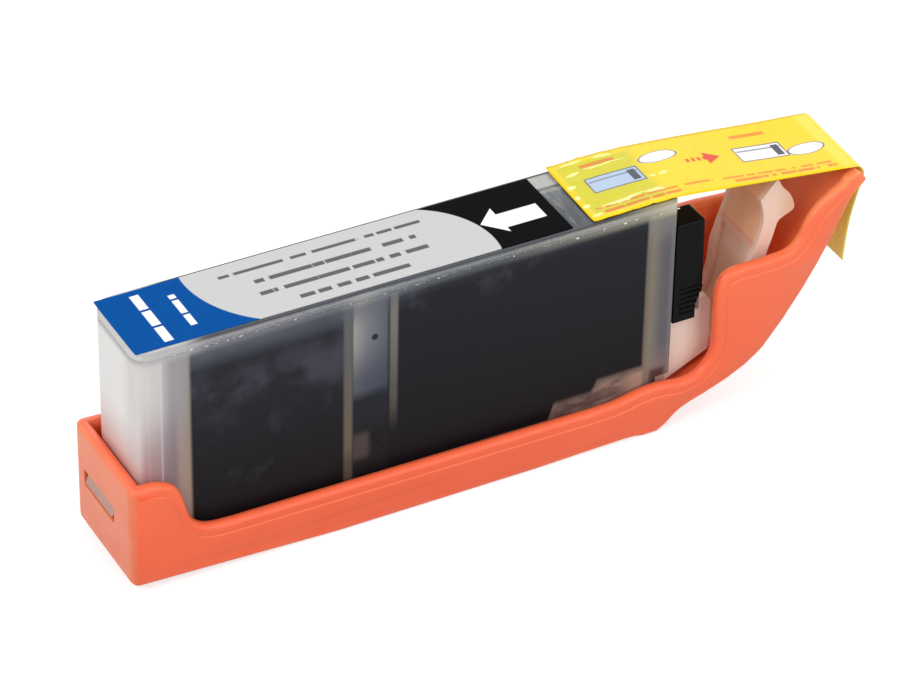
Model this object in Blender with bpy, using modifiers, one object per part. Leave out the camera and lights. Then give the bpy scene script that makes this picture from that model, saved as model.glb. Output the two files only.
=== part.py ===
"""Slim inkjet ink tank in its protective cap: solids for every separate piece.

X runs from the rear end of the tank to the tail of the cap and Z is up. The
pieces are drawn with X from the rear end face of the tank, and are then moved so
that the origin is on the flat underside of the cap. Sizes are in millimetres.
"""

from math import cos, pi, radians, sin, tan

import bmesh
import bpy
from mathutils import Matrix, Vector

MM = 0.001
WELD = 0.000001

# Tank
TANK_LENGTH = 69.4
TANK_WIDTH = 12.0
BODY_HEIGHT = 27.45
SIDE_WALL = 1.1
REAR_WALL = 1.1
TANK_FLOOR = 1.2
TANK_CORNER = 2.0
LID_THICKNESS = 1.2
SKIRT_DEEP = 2.4
SKIRT_SHALLOW = 0.5
LID_RIB = 1.0
REAR_CELL = 4.3
PARTITION = 1.2
INK_SHARE = 0.291
CHANNEL = 4.4
END_WALL = 3.0
END_SLOT = 0.9
CHANNEL_PORT = 5.9
INK_BELOW_SEAM = 2.7
COLUMN_LEVEL = 10.9
CHAMBER_PORT = 2.4
PORT_WIDTH = 4.0
WEDGE_HEIGHT = 6.4
WEDGE_TOP = 1.6
WEDGE_FOOT = 3.9
FLOOR_STEPS = ((12.6, 2.3), (6.9, 3.8))
STEP_RUN = 1.0
END_NOTCH = 3.8

# Outlet
OUTLET_SHARE = 0.238
OUTLET_LENGTH = 8.0
OUTLET_WIDTH = 5.0
OUTLET_DROP = 0.6
OUTLET_WALL = 1.0
SCREEN_THICKNESS = 0.3
WICK_PROUD = 0.3

# Latch lever and nose
NOSE_WIDTH = 9.0
NOSE_REACH = 6.1
NOSE_TOP = 12.4
NOSE_BOTTOM = 4.4
NOSE_SLOPE = 25.5
SEAT_REACH = 4.5
SEAT_TOP = 10.7
LEVER_WIDTH = 8.6
LEVER_REACH = 11.1
LEVER_DROP = 1.45
LEVER_CREASE = 0.569
LEVER_RIB = 1.0
LEVER_POCKET = 0.8

# End block and chip
BLOCK_WIDTH = 3.8
BLOCK_REACH = 4.0
BLOCK_DROP = 2.75
BLOCK_EDGE = 0.1
BLOCK_ROUND = 0.5
TONGUE_DEPTH = 0.5
GRIP_RIDGES = 6
GRIP_PITCH = 0.7
GRIP_DEPTH = 0.16
CHIP_LENGTH = 6.6
CHIP_WIDTH = 7.0
CHIP_THICKNESS = 0.6
PAD_ROWS = 2
PAD_COLUMNS = 4
PAD_HEIGHT = 0.06
POTTING_SIZE = 3.2
POTTING_HEIGHT = 0.9

# Films
LABEL_MARGIN = 0.35
LABEL_INSET = 0.1
BARE_STRIP = 2.7
LABEL_THICKNESS = 0.09
TAPE_OFFSET = 0.3
TAPE_THICKNESS = 0.12
TAPE_STUCK = 11.2
TAPE_HANG = 13.3
TAPE_BEND = 0.95
TAPE_OVER_TIP = 0.5

# Fill and vent
FILL_BALL = 2.4
FILL_FROM_REAR = 16.0
VENT_HOLE = 1.2
GROOVE_WIDTH = 0.6
GROOVE_DEPTH = 0.45
GROOVE_PITCH = 1.5
GROOVE_TURNS = 5
GROOVE_LENGTH = 8.0

# Rear tab and the slot that takes it
TAB_WIDTH = 6.4
TAB_HEIGHT = 1.65
TAB_OFFSET = 1.2
TAB_SLANT = 1.2
TAB_REACH = 1.3
TAB_ABOVE = 4.2

# Protective cap
CAP_WALL = 1.65
CAP_REAR_RIM = 14.5
CAP_LOW_RIM = 6.0
CAP_CORNER = 1.2
CAP_EDGE = 0.76
RIM_SHARE = 0.45
BOW_LENGTH = 24.0
BOW_RISE = 1.0
ARCH_RISE = 0.3
TAIL_NARROWS = 1.3
TAIL_BEND = 10.9
TIP_SPAN = 3.4
TAIL_REACH = 25.9
TAIL_BELOW_LID = 3.51
TANK_LIFT = 1.55
RIB_SINK = 0.5
BASE_FROM_REAR = 37.0

# Clearances
CAP_GAP = 0.3
SEAT_GAP = 0.1
FILM_GAP = 0.03
FILL_GAP = 0.06

# Levels and places that follow from the sizes above
END = TANK_LENGTH
HALF = TANK_WIDTH / 2
BOTTOM = CAP_WALL + TANK_LIFT
SEAM = BOTTOM + BODY_HEIGHT
LID_BOTTOM = SEAM + FILL_GAP
LID_TOP = LID_BOTTOM + LID_THICKNESS
FLOOR = BOTTOM + TANK_FLOOR
INNER = HALF - SIDE_WALL
CELL_END = REAR_WALL + REAR_CELL
INK_START = CELL_END + PARTITION
INK_END = INK_START + INK_SHARE * TANK_LENGTH
CHANNEL_START = INK_END + PARTITION
CHANNEL_END = CHANNEL_START + CHANNEL
FOAM_START = CHANNEL_END + PARTITION
FOAM_END = END - END_WALL
OUTLET_X = FOAM_START + OUTLET_SHARE * (FOAM_END - FOAM_START)
LEVER_HEIGHT = BODY_HEIGHT - NOSE_BOTTOM - LEVER_DROP
BLOCK_HEIGHT = BODY_HEIGHT - SEAT_TOP - BLOCK_DROP
LABEL_LENGTH = TANK_LENGTH - TAPE_STUCK - BARE_STRIP - LABEL_INSET
LABEL_WIDTH = TANK_WIDTH - 2 * LABEL_MARGIN
TAPE_WIDTH = TANK_WIDTH
TAIL_TIP = LID_TOP - TAIL_BELOW_LID
CAP_HALF = HALF + CAP_GAP + CAP_WALL
CAP_REAR = -CAP_GAP - CAP_WALL
BIG = 200.0


def new_collection(name):
    collection = bpy.data.collections.new(name)
    bpy.context.scene.collection.children.link(collection)
    return collection


def clear_scene():
    for item in list(bpy.data.objects):
        bpy.data.objects.remove(item, do_unlink=True)


# Outlines

def arc(centre, radius, start, stop, steps=6):
    """Points of an arc, from one angle in degrees to another."""
    turn = [radians(start + (stop - start) * n / steps) for n in range(steps + 1)]
    return [(centre[0] + radius * cos(t), centre[1] + radius * sin(t)) for t in turn]


def smooth(knots, steps=5):
    """A smooth open curve through the knots, as a Catmull-Rom spline."""
    ends = [(2 * knots[0][k] - knots[1][k]) for k in (0, 1)]
    tail = [(2 * knots[-1][k] - knots[-2][k]) for k in (0, 1)]
    row = [tuple(ends)] + list(knots) + [tuple(tail)]
    points = []
    for a, b, c, d in zip(row, row[1:], row[2:], row[3:]):
        for n in range(steps):
            t = n / steps
            points.append(tuple(
                0.5 * (2 * b[k] + (c[k] - a[k]) * t
                       + (2 * a[k] - 5 * b[k] + 4 * c[k] - d[k]) * t ** 2
                       + (3 * b[k] - a[k] - 3 * c[k] + d[k]) * t ** 3)
                for k in (0, 1)))
    points.append(tuple(knots[-1]))
    return points


def offset(path, distance):
    """The path moved to its left by a distance, mitred at its bends."""
    moved = []
    for n, point in enumerate(path):
        before = Vector(path[max(n - 1, 0)])
        after = Vector(path[min(n + 1, len(path) - 1)])
        here = Vector(point)
        sides = []
        for a, b in ((before, here), (here, after)):
            if (b - a).length > 0.0:
                run = (b - a).normalized()
                sides.append(Vector((-run.y, run.x)))
        normal = sum(sides, Vector((0, 0))).normalized()
        stretch = min(1 / max(normal.dot(sides[0]), 0.5), 1.6)
        moved.append(tuple(here + normal * distance * stretch))
    return moved


def rounded_box(low, high, radii, steps=6):
    """A rectangle with its own radius at each corner, from the lower left, anticlockwise."""
    places = ((low[0], low[1], 1, 1, 180), (high[0], low[1], -1, 1, 270),
              (high[0], high[1], -1, -1, 0), (low[0], high[1], 1, -1, 90))
    points = []
    for radius, (x, y, sx, sy, start) in zip(radii, places):
        if radius:
            centre = (x + sx * radius, y + sy * radius)
            points += arc(centre, radius, start, start + 90, steps)
        else:
            points.append((x, y))
    return points


# Solids

PLANES = {
    "plan": Matrix.Identity(4),
    "side": Matrix.Rotation(pi / 2, 4, "X"),
    "end": Matrix.Rotation(pi / 2, 4, "Z") @ Matrix.Rotation(pi / 2, 4, "X"),
}


def place(item, collection):
    collection.objects.link(item)
    return item


def extruded(name, outline, low, high, plane, collection):
    """A flat outline given thickness between two levels of its plane's normal.

    The plan plane is X and Y with the levels in Z, the side plane is X and Z
    with the levels in Y, and the end plane is Y and Z with the levels in X.
    """
    curve = bpy.data.curves.new(name, "CURVE")
    curve.dimensions = "2D"
    curve.fill_mode = "BOTH"
    curve.extrude = (high - low) / 2 * MM
    spline = curve.splines.new("POLY")
    spline.points.add(len(outline) - 1)
    for target, (u, v) in zip(spline.points, outline):
        target.co = (u * MM, v * MM, 0, 1)
    spline.use_cyclic_u = True
    drawn = bpy.data.objects.new(name + "_outline", curve)
    bpy.context.scene.collection.objects.link(drawn)
    middle = (low + high) / 2 * MM
    sign = -1 if plane == "side" else 1
    drawn.matrix_world = PLANES[plane] @ Matrix.Translation((0, 0, sign * middle))
    bpy.context.view_layer.update()
    seen = drawn.evaluated_get(bpy.context.evaluated_depsgraph_get())
    mesh = bpy.data.meshes.new_from_object(seen)
    mesh.transform(drawn.matrix_world)
    bpy.data.objects.remove(drawn, do_unlink=True)
    tidy(mesh)
    mesh.name = name
    return place(bpy.data.objects.new(name, mesh), collection)


def tidy(mesh):
    shape = bmesh.new()
    shape.from_mesh(mesh)
    bmesh.ops.remove_doubles(shape, verts=shape.verts, dist=WELD)
    bmesh.ops.recalc_face_normals(shape, faces=shape.faces)
    shape.to_mesh(mesh)
    shape.free()


def box(name, low, high, collection):
    shape = bmesh.new()
    bmesh.ops.create_cube(shape, size=1)
    size = [(b - a) * MM for a, b in zip(low, high)]
    middle = [(a + b) / 2 * MM for a, b in zip(low, high)]
    bmesh.ops.scale(shape, vec=size, verts=shape.verts)
    bmesh.ops.translate(shape, vec=middle, verts=shape.verts)
    mesh = bpy.data.meshes.new(name)
    shape.to_mesh(mesh)
    shape.free()
    return place(bpy.data.objects.new(name, mesh), collection)


def ball(name, centre, radius, collection):
    shape = bmesh.new()
    bmesh.ops.create_uvsphere(shape, u_segments=24, v_segments=14, radius=radius * MM)
    bmesh.ops.translate(shape, vec=[c * MM for c in centre], verts=shape.verts)
    mesh = bpy.data.meshes.new(name)
    shape.to_mesh(mesh)
    shape.free()
    return place(bpy.data.objects.new(name, mesh), collection)


def drum(name, centre, radius, low, high, collection):
    """An upright cylinder between two levels."""
    shape = bmesh.new()
    bmesh.ops.create_cone(shape, cap_ends=True, segments=24, radius1=radius * MM,
                          radius2=radius * MM, depth=(high - low) * MM)
    middle = (centre[0] * MM, centre[1] * MM, (low + high) / 2 * MM)
    bmesh.ops.translate(shape, vec=middle, verts=shape.verts)
    mesh = bpy.data.meshes.new(name)
    shape.to_mesh(mesh)
    shape.free()
    return place(bpy.data.objects.new(name, mesh), collection)


def turn(item, pivot, degrees):
    """Turns a piece about a line along Y, nose up for a positive angle."""
    here = Matrix.Translation([c * MM for c in pivot])
    item.data.transform(here @ Matrix.Rotation(radians(-degrees), 4, "Y") @ here.inverted())


def boolean(target, tool, operation):
    """Joins, cuts or trims the target with a tool that stays as a wire guide."""
    step = target.modifiers.new(operation.lower() + "_" + tool.name, "BOOLEAN")
    step.operation = operation
    step.solver = "EXACT"
    step.object = tool
    tool.hide_render = True
    tool.display_type = "WIRE"


def settle(item):
    """Turns the modifiers of a piece into its mesh."""
    bpy.context.view_layer.update()
    seen = item.evaluated_get(bpy.context.evaluated_depsgraph_get())
    mesh = bpy.data.meshes.new_from_object(seen)
    item.modifiers.clear()
    item.data = mesh
    tidy(mesh)


def bevel(item, width, segments, weighted=None):
    """Rounds the edges that a test picks out, or every sharp edge."""
    step = item.modifiers.new("rounding", "BEVEL")
    step.width = width * MM
    step.segments = segments
    step.use_clamp_overlap = weighted is None
    if weighted is None:
        step.limit_method = "ANGLE"
        step.angle_limit = radians(40)
        return
    step.limit_method = "WEIGHT"
    weights = item.data.attributes.new("bevel_weight_edge", "FLOAT", "EDGE")
    shape = bmesh.new()
    shape.from_mesh(item.data)
    shape.edges.ensure_lookup_table()
    shape.normal_update()
    values = [weighted(edge) for edge in shape.edges]
    shape.free()
    for entry, value in zip(weights.data, values):
        entry.value = value


def material(name, colour, roughness, metallic=0.0, alpha=1.0):
    finish = bpy.data.materials.new(name)
    finish.use_nodes = True
    shader = finish.node_tree.nodes["Principled BSDF"]
    shader.inputs["Base Color"].default_value = (*colour, 1)
    shader.inputs["Roughness"].default_value = roughness
    shader.inputs["Metallic"].default_value = metallic
    shader.inputs["Alpha"].default_value = alpha
    finish.diffuse_color = (*colour, alpha)
    return finish


def dress(item, finish):
    item.data.materials.clear()
    item.data.materials.append(finish)
    item.data.shade_smooth()
    item.data.set_sharp_from_angle(angle=radians(35))


# Protective cap

def bowed(path):
    """Bends the rear of the cap up, as it sits on the tank."""
    span = BOW_LENGTH - CAP_REAR
    return [(x, z + BOW_RISE * max(0.0, BOW_LENGTH - x) / span) for x, z in path]


def tail_point(along, up):
    """A point of the tail, as shares of its reach past the tank and of its height."""
    return (END + along * TAIL_REACH, up * TAIL_TIP)


def underside():
    """Outer side of the floor and the tail, from the rear wall to the lip."""
    floor = [(CAP_REAR - 1.0, 0.0), (BOW_LENGTH, 0.0), (END - 19.0, 0.0),
             (END - 12.0, ARCH_RISE * 0.7), (END - 7.0, ARCH_RISE), (END - 5.4, ARCH_RISE * 0.8),
             (END - 4.4, 0.0), (END - 2.4, 0.0)]
    nose = BOTTOM + NOSE_BOTTOM
    foot = [tail_point(along, up * nose / TAIL_TIP) for along, up in (
        (-0.046, 0.092), (0.004, 0.250), (0.069, 0.368), (0.274, 0.618), (0.467, 1.026))]
    rise = smooth(foot + [tail_point(along, up) for along, up in (
        (0.676, 0.507), (0.807, 0.697), (0.873, 0.813), (0.919, 0.891), (0.958, 0.926),
        (1.000, 0.954))], 2)
    return bowed(floor) + rise


def rim_line():
    """Top edge of the side walls, from the lip of the tail to the rear wall."""
    low = CAP_LOW_RIM
    tall = TAIL_TIP - low
    high = [(END + along * TAIL_REACH, low + up * tall) for along, up in (
        (0.958, 1.013), (0.900, 0.982), (0.826, 0.942), (0.734, 0.871), (0.683, 0.799),
        (0.649, 0.719), (0.595, 0.661), (0.525, 0.652), (0.332, 0.656), (0.247, 0.643),
        (0.201, 0.580), (0.189, 0.478), (0.193, 0.286), (0.189, 0.174), (0.158, 0.094),
        (0.104, 0.040), (0.035, 0.022))]
    tail = smooth(high + [(END - 2.0, low + 0.9), (END - 4.6, low + 0.8), (END - 8.4, low + 0.1),
                          (END - 12.0, low)], 3)
    top = CAP_REAR_RIM - 0.6
    rear = smooth([(x, low + up * (top - low)) for x, up in (
        (11.0, 0.0), (8.3, 0.013), (6.7, 0.089), (5.6, 0.24), (5.0, 0.481), (4.5, 0.696),
        (3.7, 0.861), (2.5, 0.949), (1.2, 1.0))], 3)
    return bowed(tail + rear + [(CAP_REAR - 1.0, top)])


def cap_plan():
    """Cap seen from above, narrowing along the tail."""
    wide = CAP_HALF
    slim = wide - TAIL_NARROWS
    front = END + TAIL_REACH + 1.0
    left = CAP_REAR
    bend = END + TAIL_BEND
    return [(left, -wide), (bend, -wide), (front, -slim), (front, slim), (bend, wide), (left, wide)]


def on_path(point, path, near=0.01):
    """Tells whether a point of the side plane lies on a path."""
    spot = Vector(point)
    for a, b in zip(path, path[1:]):
        start = Vector(a)
        run = Vector(b) - start
        share = min(max((spot - start).dot(run) / run.length_squared, 0.0), 1.0)
        if (start + run * share - spot).length < near:
            return True
    return False


def open_mouth(item, path):
    """Takes away the faces that lie on a path of the side plane."""
    shape = bmesh.new()
    shape.from_mesh(item.data)
    mouth = []
    for face in shape.faces:
        middle = face.calc_center_median() / MM
        if abs(face.normal.y) < 0.5 and on_path((middle.x, middle.z), path):
            mouth.append(face)
    bmesh.ops.delete(shape, geom=mouth, context="FACES")
    shape.to_mesh(item.data)
    shape.free()


def cap_shell(parts, guides):
    """The cap as a shell that is open at the top, with its edges rounded."""
    under = underside()
    rim = rim_line()
    shell = extruded("protective_cap", under + rim, -CAP_HALF - 1, CAP_HALF + 1, "side", parts)
    plan = extruded("cap_plan", cap_plan(), -BIG / 10, BIG / 2, "plan", guides)
    boolean(shell, plan, "INTERSECT")
    settle(shell)
    open_mouth(shell, [under[-1]] + rim)
    skin = shell.modifiers.new("wall", "SOLIDIFY")
    skin.thickness = CAP_WALL * MM
    skin.offset = -1
    skin.use_even_offset = True
    skin.use_quality_normals = True
    settle(shell)
    slim = under[-1][0] - TIP_SPAN

    def share(edge):
        if edge.calc_face_angle(0.0) < radians(55) or not edge.is_convex:
            return 0.0
        a, b = (vertex.co / MM for vertex in edge.verts)
        if abs((b - a).normalized().z) > 0.99 and a.x < 0.0:
            return 1.0
        middle = (a + b) / 2
        if on_path((middle.x, middle.z), under):
            return CAP_EDGE / CAP_CORNER
        return 0.0 if middle.x > slim else RIM_SHARE * CAP_WALL / CAP_CORNER

    bevel(shell, CAP_CORNER, 3, share)
    settle(shell)
    return shell


def make_cap(parts, guides):
    cap = cap_shell(parts, guides)
    boolean(cap, make_slot(guides), "DIFFERENCE")
    for rib in make_cap_ribs(guides):
        boolean(cap, rib, "UNION")
    settle(cap)
    return cap


def tab_outline(margin):
    """Slanted tab seen from the rear, as points across and up."""
    low = BOTTOM + TAB_ABOVE - margin
    high = BOTTOM + TAB_ABOVE + TAB_HEIGHT + margin
    half = TAB_WIDTH / 2 + margin
    lean = TAB_SLANT / 2
    return [(TAB_OFFSET - half + lean, low), (TAB_OFFSET + half + lean, low),
            (TAB_OFFSET + half - lean, high), (TAB_OFFSET - half - lean, high)]


def make_slot(guides):
    """Slot in the rear wall that shows the tab of the tank."""
    low = BOTTOM + TAB_ABOVE - CAP_GAP
    high = BOTTOM + TAB_ABOVE + TAB_HEIGHT + CAP_GAP
    half = (TAB_WIDTH + TAB_SLANT) / 2 + CAP_GAP
    outline = rounded_box((TAB_OFFSET - half, low), (TAB_OFFSET + half, high), (0.3,) * 4, 3)
    return extruded("rear_slot", outline, CAP_REAR - 1, 1.0, "end", guides)


def make_cap_ribs(guides):
    """Cross ribs of the floor that carry the tank."""
    top = BOTTOM - CAP_GAP
    inside = HALF + CAP_GAP + RIB_SINK
    ribs = []
    for n, start in enumerate((INK_START + 4.0, CHANNEL_START, FOAM_END - 12.0)):
        low = (start, -inside, CAP_WALL - RIB_SINK)
        high = (start + PARTITION, inside, top)
        ribs.append(box("cap_rib_%d" % n, low, high, guides))
    return ribs


def make_seal_pad(parts):
    size = (OUTLET_LENGTH / 2 + OUTLET_WALL + 0.6, OUTLET_WIDTH / 2 + OUTLET_WALL + 0.6)
    outline = rounded_box((OUTLET_X - size[0], -size[1]), (OUTLET_X + size[0], size[1]),
                          (size[1] - 0.2,) * 4, 8)
    low = CAP_WALL + FILL_GAP
    high = BOTTOM - OUTLET_DROP - FILL_GAP
    return extruded("cap_seal_pad", outline, low, high, "plan", parts)


# Tank body

def oval(length, width):
    return rounded_box((OUTLET_X - length / 2, -width / 2), (OUTLET_X + length / 2, width / 2),
                       (width / 2 - 0.01,) * 4, 8)


def chamber_outline(clear=0.0):
    """Absorber chamber from the side, with the two steps of its floor."""
    left = FOAM_START + clear
    right = FOAM_END - clear
    points = [(left, FLOOR + clear)]
    level = FLOOR
    for back, rise in FLOOR_STEPS:
        foot = FOAM_END - back
        points += [(foot - clear, level + clear), (foot + STEP_RUN - clear, FLOOR + rise + clear)]
        level = FLOOR + rise
    return points + [(right, level + clear)]


def nose_outline():
    """Nose on the end face, with the seat of the end block and a slanted underside."""
    tip = END + NOSE_REACH
    slope = tan(radians(NOSE_SLOPE))
    under = BOTTOM + NOSE_BOTTOM
    start = END - 1.9
    top = BOTTOM + NOSE_TOP
    seat = BOTTOM + SEAT_TOP
    round_top = arc((tip - 1.2, top - 1.2), 1.2, 0, 90, 5)
    return ([(start, under - (tip - start) * slope), (tip, under)] + round_top
            + [(END + SEAT_REACH, top), (END + SEAT_REACH, seat), (start, seat)])


def lever_line(shares):
    """A smooth line of the lever, through shares of its reach from the nose and of its height."""
    tip = END + NOSE_REACH
    root = BOTTOM + NOSE_BOTTOM
    return smooth([(tip + along * LEVER_REACH, root + up * LEVER_HEIGHT) for along, up in shares], 3)


def lever_front():
    """Front line of the latch lever, from its root to the ridge of its head."""
    return lever_line((
        (0.126, 0.069), (0.252, 0.092), (0.369, 0.180), (0.423, 0.296), (0.441, 0.416),
        (0.486, 0.499), (0.550, 0.600), (0.613, 0.702), (0.622, 0.794), (0.577, 0.891)))


def lever_outline():
    """Latch lever from the side: flexing arm, finger ridge and hook."""
    crest = lever_line((
        (0.622, 0.919), (0.739, 0.988), (0.784, 0.998), (0.847, 0.938), (0.937, 0.887),
        (1.000, 0.808), (0.982, 0.771), (0.883, 0.748), (0.811, 0.725), (0.784, 0.688)))
    back = lever_line((
        (0.748, 0.619), (0.694, 0.536), (0.640, 0.416), (0.613, 0.296), (0.532, 0.176),
        (0.405, 0.092), (0.234, 0.042), (-0.090, -0.009)))
    return [(back[-1][0], back[-1][1] + 1.7)] + lever_front() + crest + back


def lever_pocket():
    """Recess between the ribs of the lever, from its root to the head."""
    tip = END + NOSE_REACH
    crease = BOTTOM + NOSE_BOTTOM + LEVER_CREASE * LEVER_HEIGHT
    run = [point for point in offset(lever_front(), -LEVER_POCKET) if point[1] < crease]
    ledge = (run[-1][0] + 0.2, crease)
    return run[4:] + [ledge, (tip + 1.6, crease), (tip + 1.6, run[4][1])]


def make_tank(parts, guides):
    plan = rounded_box((0, -HALF), (END, HALF), (TANK_CORNER, 0.4, 0.4, TANK_CORNER))
    tank = extruded("tank_body", plan, BOTTOM, SEAM, "plan", parts)
    half_nose = NOSE_WIDTH / 2
    nose = extruded("nose", nose_outline(), -half_nose, half_nose, "side", guides)
    trim = extruded("nose_trim", under_nose(), -BIG, BIG, "side", guides)
    boolean(tank, nose, "UNION")
    boolean(tank, trim, "DIFFERENCE")
    half_lever = LEVER_WIDTH / 2
    lever = extruded("lever", lever_outline(), -half_lever, half_lever, "side", guides)
    pocket_half = half_lever - LEVER_RIB
    pocket = extruded("lever_pocket", lever_pocket(), -pocket_half, pocket_half, "side", guides)
    boolean(lever, pocket, "DIFFERENCE")
    settle(lever)
    boolean(tank, lever, "UNION")
    tab = extruded("rear_tab", tab_outline(0.0), -TAB_REACH, 0.5, "end", guides)
    boolean(tank, tab, "UNION")
    port = extruded("outlet_port", oval(OUTLET_LENGTH + 2 * OUTLET_WALL,
                                        OUTLET_WIDTH + 2 * OUTLET_WALL),
                    BOTTOM - OUTLET_DROP, BOTTOM + 0.5, "plan", guides)
    boolean(tank, port, "UNION")
    for cut in tank_cuts(guides):
        boolean(tank, cut, "DIFFERENCE")
    wedge = [(CHANNEL_START - 0.4, FLOOR - 0.4), (CHANNEL_START + WEDGE_FOOT, FLOOR - 0.4),
             (CHANNEL_START + WEDGE_FOOT, FLOOR),
             (CHANNEL_START + WEDGE_TOP, FLOOR + WEDGE_HEIGHT - 0.5),
             (CHANNEL_START + WEDGE_TOP - 0.5, FLOOR + WEDGE_HEIGHT),
             (CHANNEL_START - 0.4, FLOOR + WEDGE_HEIGHT)]
    boolean(tank, extruded("channel_wedge", wedge, -INNER - 0.4, -PORT_WIDTH / 2, "side", guides),
            "UNION")
    settle(tank)
    return tank


def under_nose():
    """Space under the slanted lower corner of the tank."""
    tip = END + NOSE_REACH
    slope = tan(radians(NOSE_SLOPE))
    under = BOTTOM + NOSE_BOTTOM
    reach = NOSE_BOTTOM / slope
    return [(tip - reach, under - NOSE_BOTTOM - 0.001), (tip + 1, under + slope - 0.001),
            (tip + 1, BOTTOM - 4), (tip - reach, BOTTOM - 4)]


def tank_cuts(guides):
    """Everything that is hollow in the tank body."""
    top = SEAM + 1
    cuts = []
    cell = rounded_box((REAR_WALL, -INNER), (CELL_END, INNER),
                       (TANK_CORNER - REAR_WALL, 0.2, 0.2, TANK_CORNER - REAR_WALL))
    cuts.append(extruded("rear_cell", cell, FLOOR, top, "plan", guides))
    for name, low, high in (("ink_chamber", INK_START, INK_END),
                            ("ink_channel_space", CHANNEL_START, CHANNEL_END)):
        cuts.append(box(name, (low, -INNER, FLOOR), (high, INNER, top), guides))
    foam = chamber_outline() + [(FOAM_END, top), (FOAM_START, top)]
    cuts.append(extruded("foam_chamber", foam, -INNER, INNER, "side", guides))
    cuts.append(box("chamber_port", (INK_END - 0.5, -PORT_WIDTH / 2, FLOOR),
                    (CHANNEL_START + 0.5, PORT_WIDTH / 2, FLOOR + CHAMBER_PORT), guides))
    cuts.append(box("channel_port", (CHANNEL_END - 0.5, -INNER + 0.6, FLOOR),
                    (FOAM_START + 0.5, INNER - 0.6, FLOOR + CHANNEL_PORT), guides))
    cuts.append(extruded("outlet_bore", oval(OUTLET_LENGTH, OUTLET_WIDTH),
                         BOTTOM - OUTLET_DROP - 1, FLOOR + 1, "plan", guides))
    slot_start = FOAM_END + PARTITION
    cuts.append(box("end_slot", (slot_start, -INNER, BOTTOM + NOSE_TOP + 1),
                    (slot_start + END_SLOT, INNER, top), guides))
    for side in (-1, 1):
        inner = side * (NOSE_WIDTH / 2 + 0.3)
        outer = side * (HALF + 1)
        cuts.append(box("end_notch_%d" % side,
                        (FOAM_END + 1.0, min(inner, outer), BOTTOM - 1),
                        (END + 1, max(inner, outer), BOTTOM + END_NOTCH), guides))
    key = block_tongue(SEAT_GAP)
    cuts.append(box("tongue_groove", key[0], (END + 1, key[1][1], key[1][2]), guides))
    cuts.append(chip_space(guides))
    return cuts


# Lid

def groove_path():
    """Middle line of the air groove, running to and fro along the lid."""
    start = FOAM_START + 3.0
    rows = [(row - (GROOVE_TURNS - 1) / 2) * GROOVE_PITCH for row in range(GROOVE_TURNS)]
    path = []
    for n, y in enumerate(rows):
        ends = (start, start + GROOVE_LENGTH)
        near, far = ends if n % 2 == 0 else ends[::-1]
        path += [(near, y), (far, y)]
    vent_x = END - TAPE_STUCK / 2
    return path + [(path[-1][0], path[-1][1]), (vent_x, path[-1][1])]


def make_lid(parts, guides):
    plan = rounded_box((0, -HALF), (END, HALF), (TANK_CORNER, 0.4, 0.4, TANK_CORNER))
    lid = extruded("tank_lid", plan, LID_BOTTOM, LID_TOP, "plan", parts)
    bend = TANK_CORNER - REAR_WALL
    rooms = ((REAR_WALL, CELL_END, SKIRT_DEEP, bend), (INK_START, INK_END, SKIRT_DEEP, 0),
             (CHANNEL_START, CHANNEL_END, SKIRT_DEEP, 0),
             (FOAM_START, FOAM_END, SKIRT_SHALLOW, 0))
    for n, (low, high, depth, corner) in enumerate(rooms):
        outline = rounded_box((low + SEAT_GAP, -INNER + SEAT_GAP),
                              (high - SEAT_GAP, INNER - SEAT_GAP), (corner, 0, 0, corner))
        skirt = extruded("skirt_%d" % n, outline, SEAM - depth, LID_BOTTOM + 0.3, "plan", guides)
        inner = SEAT_GAP + LID_RIB
        void = box("skirt_void_%d" % n, (low + inner, -INNER + inner, SEAM - depth - 1),
                   (high - inner, INNER - inner, LID_BOTTOM), guides)
        boolean(skirt, void, "DIFFERENCE")
        settle(skirt)
        boolean(lid, skirt, "UNION")
    path = groove_path()
    for n, (a, b) in enumerate(zip(path, path[1:])):
        wide = GROOVE_WIDTH / 2
        low = (min(a[0], b[0]) - wide, min(a[1], b[1]) - wide, LID_TOP - GROOVE_DEPTH)
        high = (max(a[0], b[0]) + wide, max(a[1], b[1]) + wide, LID_TOP + 1)
        if high[0] - low[0] > GROOVE_WIDTH * 1.01 or high[1] - low[1] > GROOVE_WIDTH * 1.01:
            boolean(lid, box("groove_%d" % n, low, high, guides), "DIFFERENCE")
    vent = drum("vent_hole", path[0], VENT_HOLE / 2, LID_BOTTOM - 1, LID_TOP + 1, guides)
    boolean(lid, vent, "DIFFERENCE")
    fill = drum("fill_hole", (FILL_FROM_REAR, 0), FILL_BALL / 2 + SEAT_GAP,
                LID_BOTTOM - 1, LID_TOP + 1, guides)
    boolean(lid, fill, "DIFFERENCE")
    settle(lid)
    return lid


def make_fill_ball(parts):
    """Ball pressed into the fill hole, just below the label."""
    radius = FILL_BALL / 2
    middle = LID_TOP - radius - 2 * FILM_GAP
    return ball("fill_ball", (FILL_FROM_REAR, 0, middle), radius, parts)


# Contents

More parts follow.
